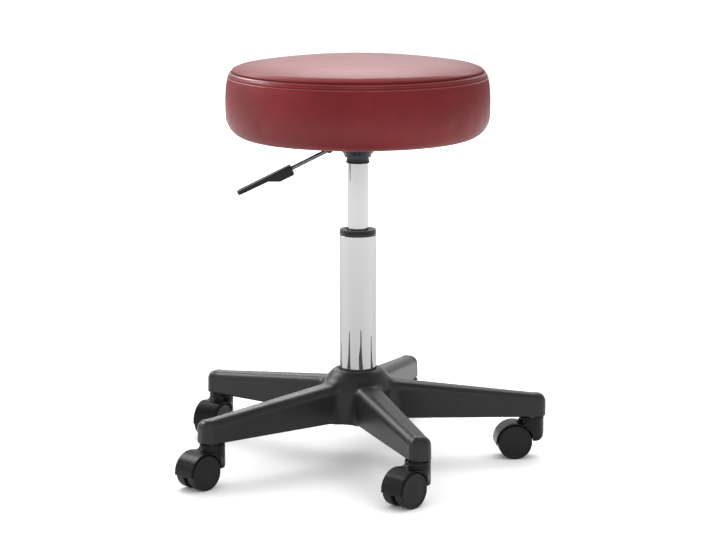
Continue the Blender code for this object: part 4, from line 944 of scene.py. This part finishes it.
def paintCover(mesh):
    w = coverPaintedLightAndGloss
    points = coordinates(mesh)
    radius, height = np.hypot(points[:, 0], points[:, 1]), points[:, 2]
    upper, lower = sewing["upperSeam"], sewing["lowerSeam"]
    outer = radius > w["outer"]
    # seam: the seam lines, painted dark as shade, the lower one fainter
    seam = hump(height - upper, w["upperSeam"]) + w["lowerShare"] * hump(height - lower, w["lowerSeam"])
    roll = np.exp(-(((height - upper + w["rollDown"]) / w["roll"]) ** 4))
    # bead: thin lines where a pale painted highlight goes, also given coat
    bead = hump(height - (upper - w["upperBead"]), w["bead"]) + hump(height - (lower - w["lowerBead"]), w["bead"])
    upward = np.zeros(len(points) * 3, np.float32)
    mesh.vertex_normals.foreach_get("vector", upward)
    facing = ramp(upward[2::3], w["topFrom"], w["topOver"])
    middle = 1.0 - ramp(radius, w["middle"], w["middleOver"]) ** 2
    # top: the up-facing part of the cover, most in the middle; it paints the lighter red of the lit top and also sets
    # lower roughness and coat
    top = facing * facing * (3 - 2 * facing) * (w["rim"] + (1 - w["rim"]) * middle)
    fade = w["footShare"] + (1 - w["footShare"]) * ramp(height - seat["foot"], w["footFrom"], w["footOver"])
    paintPoints(mesh, "top", top)
    paintPoints(mesh, "seam", np.clip(seam, 0, 1) * outer)
    paintPoints(mesh, "rub", roll * outer)
    paintPoints(mesh, "bead", np.clip(bead, 0, 1) * outer)
    paintPoints(mesh, "low", ramp(seat["sideTop"] - height, 0.0, w["lowOver"]) * fade)


def makeSeat():
    s = seat
    path = seatCurve()
    upper, lower = lengthAt(path, sewing["upperSeam"]), lengthAt(path, sewing["lowerSeam"])
    spots = coverRows(path, upper, lower)
    outline = resampled(path, spots)
    slant = np.gradient(outline, axis=0)
    slant /= np.linalg.norm(slant, axis=1, keepdims=True)
    outward = np.stack([-slant[:, 1], slant[:, 0]], 1)
    angle = math.tau * np.arange(s["sides"]) / s["sides"]
    ring = np.stack([np.cos(angle), np.sin(angle)], 1)
    points, normals = ringed(outline, ring), ringed(outward, ring)
    depth = sewnDepth(outline, spots - upper, spots - lower, angle)
    depth += wrinkles(points, normals, *clothSwell(path)) * calmed(outline, spots - upper)
    made, faces = coverForm(points + normals * depth[:, None], ring)
    cover = addPiece("seat_cushion", made, faces, "leather", s["sharp"])
    paintCover(cover.data)
    stand(cover, "seat", "leatherette", "seat_cover")
    print("seat:", len(made), "points")
    makeStitches(path, lower - sewing["stitchAbove"])
    makeStaples()


def strand(points, radius, sides=6):
    # A short thread along points, closed at both ends
    made, faces = [], []
    for index, point in enumerate(points):
        ahead = points[min(index + 1, len(points) - 1)] - points[max(index - 1, 0)]
        turn = ahead.to_track_quat("Z", "Y")
        thin = 0.45 if index in (0, len(points) - 1) else 1.0
        for side in range(sides):
            angle = math.tau * side / sides
            made.append(point + turn @ Vector((math.cos(angle), math.sin(angle), 0.0)) * radius * thin)
    for index in range(len(points) - 1):
        faces += strip(index * sides, (index + 1) * sides, sides)
    faces.append(list(range(sides)))
    faces.append(list(range(len(made) - sides, len(made))))
    return made, faces


def gathered(name, forms, finish):
    points, faces = [], []
    for made, ends in forms:
        faces += [[len(points) + index for index in face] for face in ends]
        points += made
    return addPiece(name, points, faces, finish)


def makeStitches(path, along):
    s = sewing
    before, here, after = resampled(path, np.array([along - 0.0005, along, along + 0.0005]))
    slant = (after - before) / np.linalg.norm(after - before)
    out = np.array([-slant[1], slant[0]])
    forms = []
    for index in range(s["stitches"]):
        middle = math.tau * index / s["stitches"]
        points = []
        for share, lift in s["stitchForm"]:
            angle = middle + share * s["stitchLength"] / 2 / here[0]
            radius, height = here + out * lift
            points.append(Vector((radius * math.cos(angle), radius * math.sin(angle), height)))
        forms.append(strand(points, s["stitchRadius"]))
    stitches = gathered("seat_stitches", forms, "thread")
    stand(stitches, "seat", "leatherette")


def makeStaples():
    s = sewing
    radius, height = seat["hem"] + s["stapleIn"], seat["foot"] - s["stapleDown"]
    half, leg = s["stapleHalf"], s["stapleLeg"]
    ends = [(-half, leg), (-half, 0.0), (half, 0.0), (half, leg)]
    forms = []
    for index in range(s["staples"]):
        angle = math.tau * (index + 0.5) / s["staples"]
        spoke = Vector((math.cos(angle), math.sin(angle), 0.0))
        across = Vector((-spoke.y, spoke.x, 0.0))
        middle = spoke * radius + Vector((0.0, 0.0, height))
        wire = [middle + across * x + Vector((0.0, 0.0, z)) for x, z in ends]
        forms.append(strand(wire, s["stapleRadius"]))
    staples = gathered("hem_staples", forms, "steel")
    stand(staples, "seat", "steel")


# Carrier, lever and the pieces that stay as they are

carrier = {
    "coneWall": 0.0178, "flareAt": (0.0034, 0.0089, 0.0102, 0.015, 0.0222),
    "flareOut": (0.0, 0.003, 0.0032, 0.0026, 0.001),
    "pieces": (  # node, piece, finish, body, slot, width of its broken edges
        ("seat_socket", "socket_cone", "cone", "seat", "dark_steel", 0.0006),
        ("seat_plate", "carrier_plate", "coat", "seat", "dark_steel", 0.0006),
        ("seat_board", "board_disc", "board", "seat", "plywood", 0.0008),
        *((f"seat_bolt_{n}", f"plate_bolt_{n}", "steel", "seat", "steel", 0.0005) for n in range(1, 5)),
        ("lever_rod", "lever_bar", "bar", "lever", "dark_steel", 0.0004),
        ("lever_paddle", "lever_handle", "paddle", "lever", "paddle", 0.0009),
    ),
    "kept": {"foam": "foam", "bump": "rubber", "pivot_pin": "coat"},  # by a word in the name; the rest are steel
}


def flared(piece, low):
    # Spreads the cone's outer side under the seat, by height above its foot
    points = coordinates(piece.data)
    radius = np.maximum(np.hypot(points[:, 0], points[:, 1]), 1e-6)
    out = np.interp(points[:, 2] - low, carrier["flareAt"], carrier["flareOut"])
    out *= radius > carrier["coneWall"]
    points[:, :2] *= (1.0 + out / radius)[:, None]
    setCoordinates(piece.data, points)


def makeCarrier():
    for node, name, finish, body, slot, edge in carrier["pieces"]:
        piece = stand(dressed(name, node, finish, edge), body, slot, node)
        if node == "seat_socket":
            flared(piece, span(node)[0])
    print("carrier and lever made")


def finishNodes():
    kept = carrier["kept"]
    for name, node in nodes.items():
        finish = next((kept[key] for key in kept if key in name), "steel")
        for slotted in node.material_slots:
            slotted.material = finishes[finish]


# Studio

studio = {
    "distance": 3.1648, "height": 0.8594, "pitch": 10.7226, "turn": -0.75, "focal": 2383.06, "frameWidth": 716.0,
    "sensor": 36.0, "offset": 0.15, "floor": 14.0,
    "boxes": (  # name, place, aim, size, power, what it lights
        ("top_box", (0.0, 0.0, 3.5), (0.0, 0.0, 0.0), (7.0, 7.0), 135.0, "all"),
        ("floor_box", (0.1, 1.6, 3.4), (0.0, 0.0, 0.0), (4.0, 4.0), 117.0, "floor"),
        ("front_box", (0.4, -2.7, 3.0), (0.0, 0.0, 0.3), (2.2, 0.6), 16.0, "stool"),
        ("left_box", (-2.4, 0.45, 1.45), (0.0, 0.0, 0.85), (0.9, 0.8), 2.1, "stool"),
        ("side_box", (-2.1, 1.5, 2.0), (0.0, 0.0, 0.2), (1.3, 1.3), 42.0, "stool"),
        ("strip_box", (-0.75, 3.0, 1.32), (0.0, 0.0, 0.3), (1.3, 0.3), 7.0, "base"),
        ("back_box", (-0.15, 1.3, 1.34), (0.0, 0.0, 0.5), (2.2, 0.44), 7.0, "stool"),
    ),
    "spread": {"left_box": 24.0}, "unmirrored": ("top_box", "floor_box"),
}
sky = {"front": 1.2, "back": 0.66, "zenith": 0.42, "band": 1.0, "bandShare": 0.9, "bandTilt": 0.4}


def litGroup(name, piece, state):
    # The lights that take this collection light the piece alone, or all but the piece
    group = bpy.data.collections.new(name)
    group.objects.link(piece)
    group.collection_objects[0].light_linking.link_state = state
    return group


def addSoftbox(name, place, aim, size, power, lit):
    light = bpy.data.lights.new(name, "AREA")
    light.shape = "RECTANGLE"
    light.size, light.size_y = size
    light.energy = power
    if name in studio["spread"]:
        light.spread = math.radians(studio["spread"][name])
    box = bpy.data.objects.new(name, light)
    box.location = place
    box.rotation_euler = (Vector(aim) - Vector(place)).to_track_quat("-Z", "Y").to_euler()
    box.light_linking.receiver_collection = lit
    box.visible_glossy = name not in studio["unmirrored"]
    scene.collection.objects.link(box)


def makeSky():
    # A grey dome, brighter towards the camera, with a pale band low down behind the stool
    kit = Kit("studio_sky", bpy.data.worlds, "Background", "Generated")
    side, depth, rise = (kit.node("ShaderNodeSeparateXYZ", {}, {0: kit.where}, axis) for axis in "XYZ")
    behind = depth.between(-0.3, 0.75)
    horizon = behind.blend(grey(sky["front"]), grey(sky["back"]))
    dome = rise.between(0.3, 0.85).blend(horizon, grey(sky["zenith"]))
    band = behind * rise.between(0.1, 0.29) * (1.0 - rise.between(0.3, 0.55))
    band = band * (sky["bandShare"] - side * sky["bandTilt"])
    scene.world = kit.finish({"Color": band.blend(dome, grey(sky["band"]))})


def makeCamera():
    s = studio
    lens = bpy.data.cameras.new("photo_camera")
    lens.sensor_width = s["sensor"]
    lens.lens = s["focal"] / s["frameWidth"] * s["sensor"]
    lens.shift_x = s["offset"] / s["frameWidth"]
    camera = bpy.data.objects.new("photo_camera", lens)
    place = Matrix.Translation((0.0, -s["distance"], s["height"]))
    tilt = Matrix.Rotation(math.radians(90.0 - s["pitch"]), 4, "X")
    camera.matrix_world = Matrix.Rotation(math.radians(s["turn"]), 4, "Z") @ place @ tilt
    scene.collection.objects.link(camera)
    scene.camera = camera


def makeStudio():
    half = studio["floor"]
    corners = [(-half, -half, 0), (half, -half, 0), (half, half, 0), (-half, half, 0)]
    floor = addPiece("studio_floor", corners, [(0, 1, 2, 3)], "floor")
    makeSky()
    lit = {
        "all": None,
        "floor": litGroup("floor_lit", floor, "INCLUDE"),
        "stool": litGroup("floor_unlit", floor, "EXCLUDE"),
        "base": litGroup("base_lit", bpy.data.objects["base_moulding"], "INCLUDE"),
    }
    for *settings, lights in studio["boxes"]:
        addSoftbox(*settings, lit[lights])
    makeCamera()
    scene.view_settings.view_transform = "Standard"
    print("studio set")


finishNodes()
makeBase()
makeCasters()
makeColumn()
makeCarrier()
makeSeat()
makeStudio()
